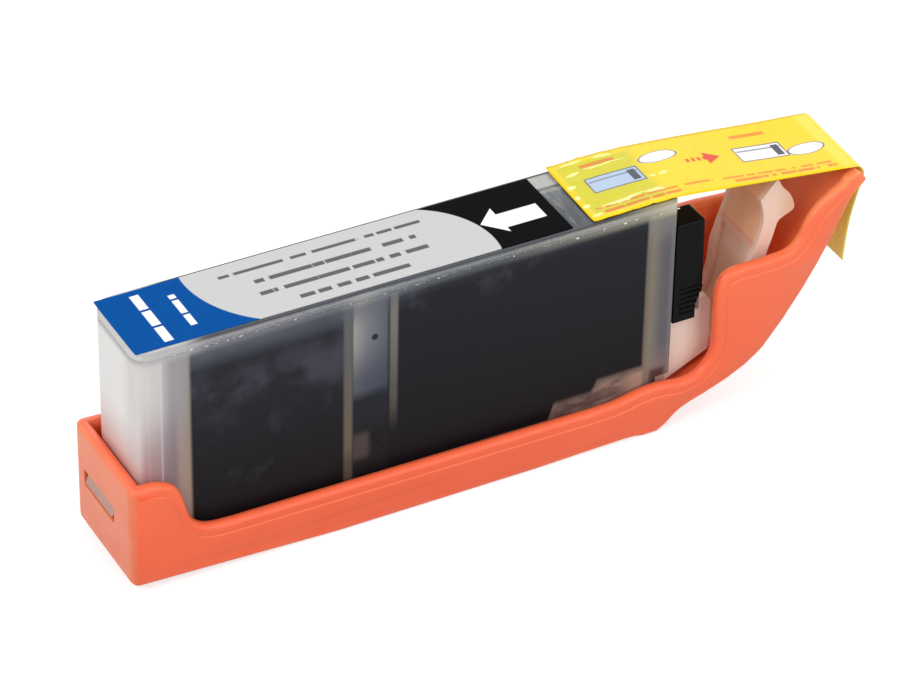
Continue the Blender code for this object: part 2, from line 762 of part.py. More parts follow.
def make_contents(parts):
    across = INNER - FILL_GAP
    clear = FILL_GAP
    ink_top = SEAM - INK_BELOW_SEAM
    foam_top = SEAM - SKIRT_SHALLOW - 0.25
    layer = FLOOR + CHANNEL_PORT + 0.4
    ink = rounded_box((INK_START + clear, FLOOR + clear), (INK_END - clear, ink_top), (0.2,) * 4, 3)
    made = [extruded("ink_reserve", ink, -across, across, "side", parts)]
    column = [(CHANNEL_START + clear, FLOOR + WEDGE_HEIGHT + clear),
              (CHANNEL_END - clear, FLOOR + WEDGE_HEIGHT + clear),
              (CHANNEL_END - clear, FLOOR + COLUMN_LEVEL), (CHANNEL_START + clear, FLOOR + COLUMN_LEVEL)]
    made.append(extruded("ink_column", column, -across, across, "side", parts))
    floor = chamber_outline(clear)
    step_foot = floor[1][0]
    dense = [(FOAM_START + clear, FLOOR + clear + SCREEN_THICKNESS + clear),
             (step_foot - clear, FLOOR + clear + SCREEN_THICKNESS + clear),
             (step_foot - clear, layer), (FOAM_START + clear, layer)]
    made.append(extruded("absorber_dense", dense, -across, across, "side", parts))
    main = floor[1:] + [(FOAM_END - clear, foam_top), (FOAM_START + clear, foam_top),
                        (FOAM_START + clear, layer + clear), (step_foot, layer + clear)]
    made.append(extruded("absorber_main", main, -across, across, "side", parts))
    screen = oval(OUTLET_LENGTH + 1.6, OUTLET_WIDTH + 1.6)
    made.append(extruded("outlet_screen", screen, FLOOR + clear,
                         FLOOR + clear + SCREEN_THICKNESS, "plan", parts))
    wick = oval(OUTLET_LENGTH - 2 * SEAT_GAP, OUTLET_WIDTH - 2 * SEAT_GAP)
    made.append(extruded("outlet_wick", wick, BOTTOM - OUTLET_DROP + WICK_PROUD, FLOOR,
                         "plan", parts))
    return made


# End block and chip

def block_tongue(margin):
    near = -HALF + BLOCK_EDGE
    low = (END - TONGUE_DEPTH, near + 1.2 - margin, BOTTOM + SEAT_TOP + 1.6 - margin)
    high = (END + 0.5, near + BLOCK_WIDTH - 0.8 + margin,
            BOTTOM + SEAT_TOP + BLOCK_HEIGHT - 1.6 + margin)
    return low, high


def make_block(parts, guides):
    near = -HALF + BLOCK_EDGE
    low = BOTTOM + SEAT_TOP + SEAT_GAP
    high = low + BLOCK_HEIGHT
    left = END + SEAT_GAP
    right = END + BLOCK_REACH
    shoulder = arc((right - BLOCK_ROUND, high - BLOCK_ROUND), BLOCK_ROUND, 0, 90, 5)
    outline = [(left, low), (right - 0.9, low), (right - 0.8, low + 2.0), (right, low + 3.9)]
    outline += shoulder + [(left, high)]
    block = extruded("end_block", outline, near, near + BLOCK_WIDTH, "side", parts)
    key = block_tongue(0.0)
    low_key = (key[0][0] + SEAT_GAP, key[0][1], key[0][2])
    boolean(block, box("block_tongue", low_key, key[1], guides), "UNION")
    for n in range(GRIP_RIDGES):
        level = low + 1.0 + n * GRIP_PITCH
        groove = box("grip_%d" % n, (END + 0.9, near - 1, level),
                     (END + BLOCK_REACH + 1, near + GRIP_DEPTH, level + GRIP_PITCH / 2), guides)
        boolean(block, groove, "DIFFERENCE")
    settle(block)
    return block


def chip_pivot():
    """Middle of the slanted underside of the nose."""
    tip = END + NOSE_REACH
    slope = tan(radians(NOSE_SLOPE))
    reach = CHIP_LENGTH / 2 + 0.5
    return (tip - reach, 0.0, BOTTOM + NOSE_BOTTOM - reach * slope)


def chip_space(guides):
    """Pocket that takes the potting on the back of the board."""
    x, y, z = chip_pivot()
    half = POTTING_SIZE / 2 + 0.2
    pocket = box("potting_pocket", (x - half, -half, z - 0.8),
                 (x + half, half, z + POTTING_HEIGHT + 0.2), guides)
    turn(pocket, (x, y, z), NOSE_SLOPE)
    return pocket


def make_chip(parts, guides):
    x, y, z = chip_pivot()
    half = CHIP_LENGTH / 2
    wide = CHIP_WIDTH / 2
    top = z - SEAT_GAP
    outline = rounded_box((x - half, -wide), (x + half, wide), (0.5,) * 4, 4)
    board = extruded("chip_board", outline, top - CHIP_THICKNESS, top, "plan", parts)
    across = (CHIP_WIDTH - 1.0) / PAD_COLUMNS
    along = (CHIP_LENGTH - 1.0) / PAD_ROWS
    for row in range(PAD_ROWS):
        for column in range(PAD_COLUMNS):
            px = x - half + 0.5 + along * (row + 0.5)
            py = -wide + 0.5 + across * (column + 0.5)
            pad = box("pad_%d_%d" % (row, column),
                      (px - along * 0.38, py - across * 0.36, top - CHIP_THICKNESS - PAD_HEIGHT),
                      (px + along * 0.38, py + across * 0.36, top - CHIP_THICKNESS + 0.1), guides)
            boolean(board, pad, "UNION")
    settle(board)
    turn(board, (x, y, z), NOSE_SLOPE)
    side = POTTING_SIZE / 2
    potting = extruded("chip_potting", rounded_box((x - side, -side), (x + side, side),
                                                   (0.9,) * 4, 4),
                       z - SEAT_GAP + FILM_GAP, z + POTTING_HEIGHT, "plan", parts)
    bevel(potting, 0.35, 3)
    settle(potting)
    turn(potting, (x, y, z), NOSE_SLOPE)
    return board, potting


# Films

def make_label(parts):
    low = LID_TOP + FILM_GAP
    outline = rounded_box((LABEL_INSET, -LABEL_WIDTH / 2),
                          (LABEL_INSET + LABEL_LENGTH, LABEL_WIDTH / 2),
                          (0.15,) * 4, 2)
    return extruded("top_label", outline, low, low + LABEL_THICKNESS, "plan", parts)


def tape_path():
    """Lower face of the tape from its stuck end over the tail to its hanging end."""
    lid = LID_TOP + FILM_GAP
    fold = (END + TAIL_REACH - TAPE_BEND, TAIL_TIP + TAPE_OVER_TIP)
    flat = [(END - TAPE_STUCK, lid), (END + 0.2, lid)]
    over = arc((fold[0], fold[1] - TAPE_BEND), TAPE_BEND, 80, 0, 6)
    fall = smooth([(fold[0] + 0.85, fold[1] - 2.2), (fold[0] + 0.15, fold[1] - 4.4),
                   (fold[0] - 0.7, fold[1] - TAPE_HANG * 0.65),
                   (fold[0] - 1.1, fold[1] - TAPE_HANG)], 3)
    return flat + over + fall


def make_tape(parts):
    under = tape_path()
    over = offset(under, TAPE_THICKNESS)
    low = TAPE_OFFSET - TAPE_WIDTH / 2
    return extruded("pull_tape", under + over[::-1], low, low + TAPE_WIDTH, "side", parts)


def main():
    clear_scene()
    parts = new_collection("ink_tank_in_cap")
    guides = new_collection("cutters")
    frosted = material("frosted_tank", (0.78, 0.77, 0.75), 0.45, alpha=0.5)
    clear_lid = material("frosted_lid", (0.74, 0.74, 0.72), 0.35, alpha=0.6)
    orange = material("orange_cap", (0.80, 0.13, 0.05), 0.38)
    label = material("label_print", (0.70, 0.70, 0.70), 0.35)
    yellow = material("yellow_film", (1.0, 0.68, 0.03), 0.3)
    black = material("black_block", (0.008, 0.008, 0.009), 0.4)
    ink = material("black_ink", (0.004, 0.004, 0.006), 0.12)
    foam = material("soaked_foam", (0.012, 0.012, 0.016), 0.8)
    dense = material("dense_foam", (0.016, 0.016, 0.02), 0.85)
    felt = material("wick_felt", (0.05, 0.05, 0.055), 0.9)
    steel = material("bright_steel", (0.6, 0.6, 0.6), 0.25, metallic=1.0)
    mesh = material("steel_screen", (0.5, 0.5, 0.5), 0.35, metallic=1.0)
    rubber = material("seal_rubber", (0.75, 0.72, 0.66), 0.6)
    board = material("chip_laminate", (0.02, 0.16, 0.06), 0.45)
    epoxy = material("potting_resin", (0.006, 0.006, 0.006), 0.3)

    dress(make_cap(parts, guides), orange)
    dress(make_seal_pad(parts), rubber)
    dress(make_tank(parts, guides), frosted)
    dress(make_lid(parts, guides), clear_lid)
    dress(make_fill_ball(parts), steel)
    finishes = (ink, ink, dense, foam, mesh, felt)
    for item, finish in zip(make_contents(parts), finishes):
        dress(item, finish)
    dress(make_block(parts, guides), black)
    for item, finish in zip(make_chip(parts, guides), (board, epoxy)):
        dress(item, finish)
    dress(make_label(parts), label)
    dress(make_tape(parts), yellow)
    for item in list(parts.objects) + list(guides.objects):
        item.data.transform(Matrix.Translation((-BASE_FROM_REAR * MM, 0, 0)))


main()
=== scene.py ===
"""Looks of a slim inkjet ink tank in its protective cap.

The file is laid out as an add-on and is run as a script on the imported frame.
Places are in millimetres: X from the rear end of the tank, Y from its middle and
Z from the floor. They become metres where a mesh is made. Colours are in steps of
0 to 255 and become linear light where a node takes them.
"""

from math import cos, pi, radians, sin

import bmesh
import bpy
from bpy.props import FloatProperty, FloatVectorProperty, IntProperty, PointerProperty
from mathutils import Matrix, Vector, noise


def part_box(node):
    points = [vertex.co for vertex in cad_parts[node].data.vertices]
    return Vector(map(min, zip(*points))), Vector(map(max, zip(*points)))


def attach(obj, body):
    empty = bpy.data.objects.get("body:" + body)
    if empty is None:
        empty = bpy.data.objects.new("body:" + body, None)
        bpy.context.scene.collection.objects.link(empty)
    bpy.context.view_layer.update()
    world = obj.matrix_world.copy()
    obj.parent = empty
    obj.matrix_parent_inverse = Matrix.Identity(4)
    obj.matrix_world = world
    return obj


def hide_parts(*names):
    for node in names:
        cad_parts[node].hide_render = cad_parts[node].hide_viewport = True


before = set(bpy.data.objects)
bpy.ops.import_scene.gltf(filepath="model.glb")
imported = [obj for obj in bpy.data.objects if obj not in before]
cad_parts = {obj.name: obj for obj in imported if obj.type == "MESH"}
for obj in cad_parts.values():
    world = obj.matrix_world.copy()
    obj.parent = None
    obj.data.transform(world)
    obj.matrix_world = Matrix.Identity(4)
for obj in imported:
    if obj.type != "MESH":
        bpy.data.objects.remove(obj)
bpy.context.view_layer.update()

bl_info = {
    "name": "Ink tank in its cap",
    "version": (1, 0, 0),
    "blender": (4, 5, 0),
    "location": "View3D > Sidebar > Ink Tank",
    "description": "Finishes of a slim ink tank with its cap, label and pull tape",
    "category": "Object",
}

MM = 0.001
MERGE = 0.001 * MM

# The tank, from the box of its lid
LID_LOW, LID_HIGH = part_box("tank_lid")
REAR = LID_LOW.x
END = (LID_HIGH.x - REAR) / MM
TOP = LID_HIGH.z / MM
HALF = LID_HIGH.y / MM
SEAM = TOP - 1.21
FOLD = radians(50)
BLOCK_SHOULDER = TOP - 9.0

# The cap: its rear wall, the bow of its sides and the narrowing of its tail
CAP_LOW, CAP_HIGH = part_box("protective_cap")
CAP_REAR = (CAP_LOW.x - REAR) / MM
CAP_HALF = CAP_HIGH.y / MM
CAP_CORNER = 1.2
CAP_BOW = 1.0
BOW_LENGTH = 24.0
CAP_BEND = 10.9
CAP_NARROWS = 1.3 / 16.0
PANEL_START = CAP_REAR + 0.3
PANEL_END = END + 22.6
PANEL_FOOT = 0.85
PANEL_SLOPE = 0.3

# The pull tape: how far it is stuck, where it hangs free, and its glints as place
# along and across, length, width and lean
TAPE_START = (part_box("pull_tape")[0].x - REAR) / MM
TAPE_WIDE = 12.0
TAPE_STUCK = 9.5
GLINTS = (
    (3.2, 11.3, 1.9, 0.28, 0.0), (7.4, 11.2, 1.5, 0.24, 0.0), (6.8, 9.7, 3.4, 0.16, 0.06),
    (2.3, 9.3, 1.2, 0.34, 0.1), (0.9, 7.0, 0.75, 0.36, 0.0), (0.5, 4.9, 0.4, 0.5, 0.0),
    (0.7, 3.0, 0.6, 0.42, 0.0), (1.1, 1.0, 0.8, 0.32, 0.0), (5.4, 2.4, 3.9, 0.3, 0.1),
    (9.6, 2.5, 1.5, 0.42, -0.1), (10.8, 5.2, 0.5, 0.3, 0.0), (12.3, 5.3, 0.8, 0.3, 0.0))
PRINT_RED = (222, 62, 30)

# The stage: floor, aim of the camera, and each lamp's place, width and share of the
# main lamp's power
FLOOR_GREY = 0.5
FLOOR_GLOW = 0.65
FLOOR_HALF = 3.0
AIM = (6.7, 1.84, 15.39)
LAMPS = (("key", (-0.62, -0.28, 0.73), 0.5, 1.0), ("fill", (0.28, -0.68, 0.44), 0.6, 0.7),
         ("back", (0.35, 0.64, 0.6), 0.6, 0.55))


def tint(red, green, blue):
    """A colour of 0 to 255 steps as linear light."""
    def linear(step):
        share = step / 255
        return share / 12.92 if share <= 0.04045 else ((share + 0.055) / 1.055) ** 2.4
    return (linear(red), linear(green), linear(blue))


# Node helpers

class Value:
    """A number socket on which Python's operators make Math nodes."""

    def __init__(self, paint, socket):
        self.paint = paint
        self.socket = socket

    def math(self, operation, *others):
        return self.paint.value("ShaderNodeMath", {"operation": operation}, (self,) + others)

    def __add__(self, other):
        return self.math("ADD", other)

    def __sub__(self, other):
        return self.math("SUBTRACT", other)

    def __rsub__(self, other):
        return self.paint.value("ShaderNodeMath", {"operation": "SUBTRACT"}, (other, self))

    def __mul__(self, other):
        return self.math("MULTIPLY", other)

    def __truediv__(self, other):
        return self.math("DIVIDE", other)

    def __or__(self, other):
        return self.math("MAXIMUM", other)

    def __abs__(self):
        return self.math("ABSOLUTE")

    __radd__ = __add__
    __rmul__ = __mul__

    def ease(self, start, stop):
        """0 up to the start, 1 from the stop, and a smooth rise between them."""
        return self.paint.value(
            "ShaderNodeMapRange", {"interpolation_type": "SMOOTHSTEP"},
            {"Value": self, "From Min": start, "From Max": stop})

    def within(self, low, high, soft):
        """1 between two levels, with soft ends."""
        half = soft / 2
        return self.ease(low - half, low + half) * self.ease(high + half, high - half)


class Tree:
    """A node tree, with one method that makes its nodes."""

    def __init__(self, tree):
        self.tree = tree
        tree.nodes.clear()

    def node(self, kind, settings=None, inputs=None):
        """A node of one type, with its settings made first and then its sockets.

        A node that is given for a socket stands for its first output.
        """
        made = self.tree.nodes.new(kind)
        for key, setting in (settings or {}).items():
            if key == "stops":
                ramp = made.color_ramp
                while len(ramp.elements) < len(setting):
                    ramp.elements.new(1.0)
                for element, (place, *colour) in zip(ramp.elements, setting):
                    element.position = place
                    element.color = (*tint(*colour), 1.0)
            else:
                setattr(made, key, setting)
        pairs = inputs.items() if isinstance(inputs, dict) else enumerate(inputs or ())
        for key, given in pairs:
            socket = made.inputs[key]
            if isinstance(given, Value):
                given = given.socket
            elif isinstance(given, bpy.types.Node):
                given = given.outputs[0]
            if isinstance(given, bpy.types.NodeSocket):
                self.tree.links.new(given, socket)
            elif socket.type == "RGBA":
                socket.default_value = (*given, 1.0)
            else:
                socket.default_value = given
        return made

    def value(self, kind, settings=None, inputs=None, output=0):
        return Value(self, self.node(kind, settings, inputs).outputs[output])

    def seen_as(self, lit, seen):
        """One shader for light on the scene, and one for what is seen.

        Rays of the camera, of gloss and through clear plastic see the second one.
        """
        path = self.node("ShaderNodeLightPath").outputs
        camera, glossy, clear = (Value(self, path["Is %s Ray" % kind])
                                 for kind in ("Camera", "Glossy", "Transmission"))
        return self.node("ShaderNodeMixShader", None, (camera | glossy | clear, lit, seen))


class Paint(Tree):
    """One material and the nodes that make it."""

    def __init__(self, name):
        self.material = bpy.data.materials.new(name)
        self.material.use_nodes = True
        super().__init__(self.material.node_tree)

    def parts(self, coords, operation, *vectors):
        """A changed vector, followed by its three numbers."""
        output = self.node("ShaderNodeTexCoord").outputs[coords]
        moved = self.node("ShaderNodeVectorMath", {"operation": operation}, (output,) + vectors)
        split = self.node("ShaderNodeSeparateXYZ", None, (moved,))
        return [moved] + [Value(self, socket) for socket in split.outputs]

    def place(self):
        """The point of the surface, and its X, Y and Z in millimetres."""
        return self.parts("Object", "MULTIPLY_ADD", (1 / MM,) * 3, (-REAR / MM, 0.0, 0.0))

    def flat(self, long, wide):
        """The point on a piece with its own UV map, along it and across it."""
        return self.parts("UV", "MULTIPLY", (long, wide, 1.0))[:3]

    def point(self, x, y, z=0.0):
        return self.node("ShaderNodeCombineXYZ", None, (x, y, z))

    def cloud(self, where, scale, detail=3.0, rough=0.5, twist=0.0):
        """Noise from 0 to 1 at a point or at two or three numbers, by waves in each mm."""
        if isinstance(where, tuple):
            where = self.point(*where)
        return self.value("ShaderNodeTexNoise", None,
                          {"Vector": where, "Scale": scale, "Detail": detail,
                           "Roughness": rough, "Distortion": twist})

    def mix(self, share, first, second):
        """Two colours mixed. A tuple holds steps of 0 to 255."""
        first, second = (tint(*colour) if isinstance(colour, tuple) else colour
                         for colour in (first, second))
        return self.node("ShaderNodeMix", {"data_type": "RGBA"},
                         {0: share, 6: first, 7: second}).outputs[2]

    def over(self, colour, *layers):
        """A colour with layers laid over it in turn, each as its share and its colour."""
        for share, layer in layers:
            colour = self.mix(share, colour, layer)
        return colour

    def ramp(self, share, *stops):
        return self.node("ShaderNodeValToRGB", {"stops": stops}, (share,))

    def bump(self, height, distance, strength=1.0):
        return self.node("ShaderNodeBump", None,
                         {"Height": height, "Strength": strength, "Distance": distance * MM})

    def show(self, shader):
        self.node("ShaderNodeOutputMaterial", None, (shader,))
        return self.material

    def surface(self, colour, rough, specular=0.5, **sockets):
        names = {"Base Color": colour, "Roughness": rough, "Specular IOR Level": specular}
        for name, given in sockets.items():
            names[name.replace("_", " ").title()] = given
        return self.show(self.node("ShaderNodeBsdfPrincipled", None, names))


def bar(u, v, long, wide, soft=0.1):
    """1 inside a box about the middle of two numbers, with soft edges."""
    return abs(u).ease(long / 2 + soft, long / 2) * abs(v).ease(wide / 2 + soft, wide / 2)


def oval(u, v, edge, core):
    """1 in the core of an oval about the middle, by squared distance, and 0 past its edge."""
    return (u * u + v * v).ease(edge, core)


# Mesh helpers

def metres(point):
    return Vector((point[0] * MM + REAR, point[1] * MM, point[2] * MM))


def finish_piece(mesh, name, material, slot, *nodes):
    """Links a piece that rides on the tank and stands for its CAD nodes."""
    mesh.materials.clear()
    mesh.materials.append(material)
    item = loose(mesh, name)
    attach(item, "root")
    if nodes:
        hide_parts(*nodes)
    return item


def finish_nodes(**finishes):
    """Gives CAD nodes their finishes. Their meshes are shown as they are."""
    for node, finish in finishes.items():
        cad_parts[node].data.materials[0] = finish


def applied(item):
    """The mesh of an object with its modifiers applied. The object is removed."""
    bpy.context.view_layer.update()
    seen = item.evaluated_get(bpy.context.evaluated_depsgraph_get())
    mesh = bpy.data.meshes.new_from_object(seen)
    mesh.transform(item.matrix_world)
    bpy.data.objects.remove(item, do_unlink=True)
    return mesh


def loose(data, name):
    """A linked object for a mesh, a curve, a lamp or a camera."""
    item = bpy.data.objects.new(name, data)
    bpy.context.scene.collection.objects.link(item)
    return item


def opened(mesh):
    """A mesh opened for changes, with its doubled points merged."""
    shape = bmesh.new()
    shape.from_mesh(mesh)
    bmesh.ops.remove_doubles(shape, verts=shape.verts, dist=MERGE)
    return shape


def closed(shape, mesh):
    """The changed shape put back into the mesh."""
    shape.to_mesh(mesh)
    shape.free()
    return mesh


def softened(node, width, sharp=35, above=0.0, rounding=0.0):
    """A copy of a CAD node's mesh with its edges rounded and its faces shaded smooth.

    The width rounds every fold. The rounding is a larger one, above a level only.
    """
    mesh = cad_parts[node].data.copy()
    shape = opened(mesh)
    bmesh.ops.dissolve_limit(
        shape, angle_limit=radians(0.5), verts=shape.verts, edges=shape.edges)
    if rounding:
        picked = [edge for edge in shape.edges
                  if sum(vert.co.z for vert in edge.verts) / 2 > above * MM
                  and len(edge.link_faces) == 2 and edge.calc_face_angle() > FOLD]
        bmesh.ops.bevel(
            shape, geom=picked, offset=rounding * MM, segments=4, profile=0.5, affect="EDGES")
    item = loose(closed(shape, mesh), node + "_copy")
    if width:
        step = item.modifiers.new("edges", "BEVEL")
        step.width = width * MM
        step.segments = 2
        step.limit_method = "ANGLE"
        step.angle_limit = FOLD
        step.miter_outer = "MITER_ARC"
    mesh = applied(item)
    mesh.shade_smooth()
    mesh.set_sharp_from_angle(angle=radians(sharp))
    item = loose(mesh, node + "_copy")
    item.modifiers.new("shading", "WEIGHTED_NORMAL").keep_sharp = True
    return applied(item)


def through(value, span):
    """How far a value is through a span from zero, from 0 to 1."""
    return min(1.0, max(0.0, value) / span)


def smooth(knots, steps):
    """A smooth open curve through the knots, as a Catmull-Rom spline."""
    size = range(len(knots[0]))
    first = tuple(2 * knots[0][k] - knots[1][k] for k in size)
    last = tuple(2 * knots[-1][k] - knots[-2][k] for k in size)
    row = [first] + list(knots) + [last]
    points = []
    for a, b, c, d in zip(row, row[1:], row[2:], row[3:]):
        for n in range(steps):
            t = n / steps
            points.append(tuple(
                0.5 * (2 * b[k] + (c[k] - a[k]) * t
                       + (2 * a[k] - 5 * b[k] + 4 * c[k] - d[k]) * t ** 2
                       + (3 * b[k] - a[k] - 3 * c[k] + d[k]) * t ** 3) for k in size))
    points.append(tuple(knots[-1]))
    return points


def offset(path, distance):
    """The path moved to its left by a distance."""
    moved = []
    for n, point in enumerate(path):
        before = Vector(path[max(n - 1, 0)])
        after = Vector(path[min(n + 1, len(path) - 1)])
        run = (after - before).normalized()
        moved.append((point[0] - run.y * distance, point[1] + run.x * distance))
    return moved


# Protective cap

def bowed(path):
    """The path raised towards the rear, as the long side of the cap bows up there."""
    span = BOW_LENGTH - CAP_REAR
    return [(x, z + CAP_BOW * max(0.0, BOW_LENGTH - x) / span) for x, z in path]


def from_end(*points):
    """Points that are given from the end of the tank."""
    return [(END + x, z) for x, z in points]


def cap_underside():
    """Lower line of the side wall, from the rear wall to the lip of the tail."""
    floor = [(CAP_REAR, 0.0), (BOW_LENGTH, 0.0)] + from_end(
        (-19.0, 0.0), (-12.0, 0.21), (-7.0, 0.3), (-5.4, 0.24), (-4.4, 0.0), (-2.4, 0.0))
    rise = from_end(
        (-1.2, 0.7), (0.1, 1.9), (1.8, 2.8), (7.1, 4.7), (12.1, 7.8), (17.5, 14.4), (20.9, 19.8),
        (22.6, 23.1), (23.8, 25.3), (24.8, 26.3), (25.9, 27.1))
    return bowed(floor) + smooth(rise, 4)


def cap_rim():
    """Upper line of the side wall, from the lip of the tail to the rear wall."""
    tail = from_end(
        (24.8, 28.7), (23.3, 28.0), (21.4, 27.1), (19.0, 25.5), (17.7, 23.9), (16.8, 22.1),
        (15.4, 20.8), (13.6, 20.6), (8.6, 20.7), (6.4, 20.4), (5.2, 19.0), (4.9, 16.7),
        (5.0, 12.4), (4.9, 9.9), (4.1, 8.1), (2.7, 6.9), (0.9, 6.5), (-2.0, 6.9), (-4.6, 6.8),
        (-8.4, 6.1), (-12.0, 6.0))
    rear = [(11.0, 6.0), (8.3, 6.1), (6.7, 6.7), (5.6, 7.9), (5.0, 9.8), (4.5, 11.5),
            (3.7, 12.8), (2.5, 13.5), (1.2, 13.9)]
    return bowed(smooth(tail, 6) + smooth(rear, 6) + [(CAP_REAR, 13.9)])


def cap_width(x):
    """Half the width of the cap at a place along it, with its rounded rear corners."""
    width = CAP_HALF - CAP_NARROWS * max(0.0, x - END - CAP_BEND)
    short = min(max(0.0, CAP_CORNER - (x - CAP_REAR)), CAP_CORNER)
    return width - CAP_CORNER + (CAP_CORNER ** 2 - short ** 2) ** 0.5


def cap_panel(side, drop, proud):
    """The raised panel of one side wall. It leaves a narrow land along the rim."""
    low = [(PANEL_START, 2.0)] + [point for point in offset(cap_underside(), PANEL_FOOT)
                                  if PANEL_START < point[0] < PANEL_END + 0.8]
    rim = [point for point in offset(cap_rim(), drop) if PANEL_START + 0.4 < point[0] < PANEL_END]
    outline = low + rim + [(PANEL_START, rim[-1][1])]
    curve = bpy.data.curves.new("panel_outline", "CURVE")
    curve.dimensions = "2D"
    curve.fill_mode = "BOTH"
    curve.extrude = 2 * PANEL_SLOPE * MM
    curve.bevel_depth = PANEL_SLOPE * MM
    curve.bevel_resolution = 2
    curve.offset = -PANEL_SLOPE * MM
    spline = curve.splines.new("POLY")
    spline.points.add(len(outline) - 1)
    for target, (x, z) in zip(spline.points, outline):
        target.co = (x * MM, z * MM, 0, 1)
    spline.use_cyclic_u = True
    mesh = applied(loose(curve, "cap_panel"))
    shape = opened(mesh)
    for cut in (CAP_REAR + 0.5, CAP_REAR + 0.75, CAP_REAR + 1.1, END + CAP_BEND):
        bmesh.ops.bisect_plane(
            shape, geom=shape.verts[:] + shape.edges[:] + shape.faces[:],
            plane_co=(cut * MM, 0, 0), plane_no=(1, 0, 0))
    bottom = sorted(cap_underside())
    # Marks the sloped foot of the panel, where the cap's finish paints a highlight line
    ledge = shape.verts.layers.float.new("ledge")
    for vert in shape.verts:
        x, z, level = (value / MM for value in vert.co)
        x = max(x, PANEL_START)
        vert[ledge] = 1.0 if level < PANEL_SLOPE * 2.4 and z > 3.0 else 0.0
        floor = max((point for point in bottom if point[0] <= x), default=bottom[0])[1]
        rise = (through(z - floor - 1.2, 2.0) * through(x - PANEL_START, 0.8)
                * through(PANEL_END + 0.6 - x, 1.5))
        out = proud * rise + (level / PANEL_SLOPE - 3) * proud
        vert.co = metres((x, side * (cap_width(x) + out - 0.01), z))
    bmesh.ops.remove_doubles(shape, verts=shape.verts, dist=MERGE)
    bmesh.ops.recalc_face_normals(shape, faces=shape.faces)
    return closed(shape, mesh)


def cap_finish(settings):
    """Moulded orange plastic with a faint grain. Painted shade darkens it low down, a painted
    sheen makes its rear wall paler, and painted light brightens the inside of the tail and the
    panel ledge.
    """
    paint = Paint("orange_cap")
    where, x, y, z = paint.place()
    grain = paint.cloud(where, 3.2, 2.0)
    blotch = paint.cloud(where, 0.16)
    scuff = paint.cloud((x * 0.5, y, z * 3.0), 1.1, 4.0, 0.7).ease(0.62, 0.78)
    # Painted shade: the cap is painted darker low down and towards its rear, and lighter higher
    # up and along the tail, as light falls on it
    high = z.ease(4.0, 19.0) | x.ease(30.0, 90.0) * 0.6
    # Painted sheen: the rear wall is painted paler, in patches of painted highlight
    rear = x.ease(CAP_REAR + 0.9, CAP_REAR + 0.1)
    sheen_patches = paint.cloud((x, y * 0.7, z), 0.28).ease(0.3, 0.75)
    # Painted light: the inside of the tail is painted brighter, and lighter higher up
    inner = x.ease(END + 3.0, END + 6.0) * (CAP_HALF - 1.0 - abs(y)).ease(-0.1, 0.3)
    painted_inside_light = paint.mix(z.ease(12.0, 24.0), (255, 112, 58), (255, 146, 92))
    # Painted highlight along the panel ledge
    ledge = paint.value("ShaderNodeAttribute", {"attribute_name": "ledge"}, None, "Fac")
    colour = paint.mix(high * 0.8 + blotch.ease(0.35, 0.7) * 0.2, settings.deep, settings.colour)
    colour = paint.over(
        colour, (scuff * 0.08, (255, 196, 170)), (rear * (0.16 + 0.12 * sheen_patches), (255, 190, 140)),
        (inner * 0.8, painted_inside_light), (ledge * 0.55, (255, 150, 108)))
    fine = paint.cloud(where, 14.0, 2.0)
    return paint.surface(
        colour, 0.32 + 0.1 * grain + 0.08 * scuff,
        normal=paint.bump(fine * 0.6 + blotch, 0.02, 0.5), specular=0.35,
        subsurface_weight=0.35, subsurface_radius=(1.0, 0.34, 0.18), subsurface_scale=1.2 * MM)


# Tank

def edge_shade(paint, x):
    """Colour of the welded edge along the tank: pale over the cell, dark over the ink."""
    return paint.ramp(
        x / 70.0, (0.0, 198, 196, 196), (0.085, 180, 179, 180), (0.125, 132, 132, 139),
        (0.36, 112, 115, 122), (0.4, 150, 150, 148), (0.44, 120, 124, 130), (0.5, 100, 103, 110),
        (0.66, 92, 96, 101), (0.85, 140, 138, 128), (0.93, 158, 153, 137), (1.0, 206, 196, 168))


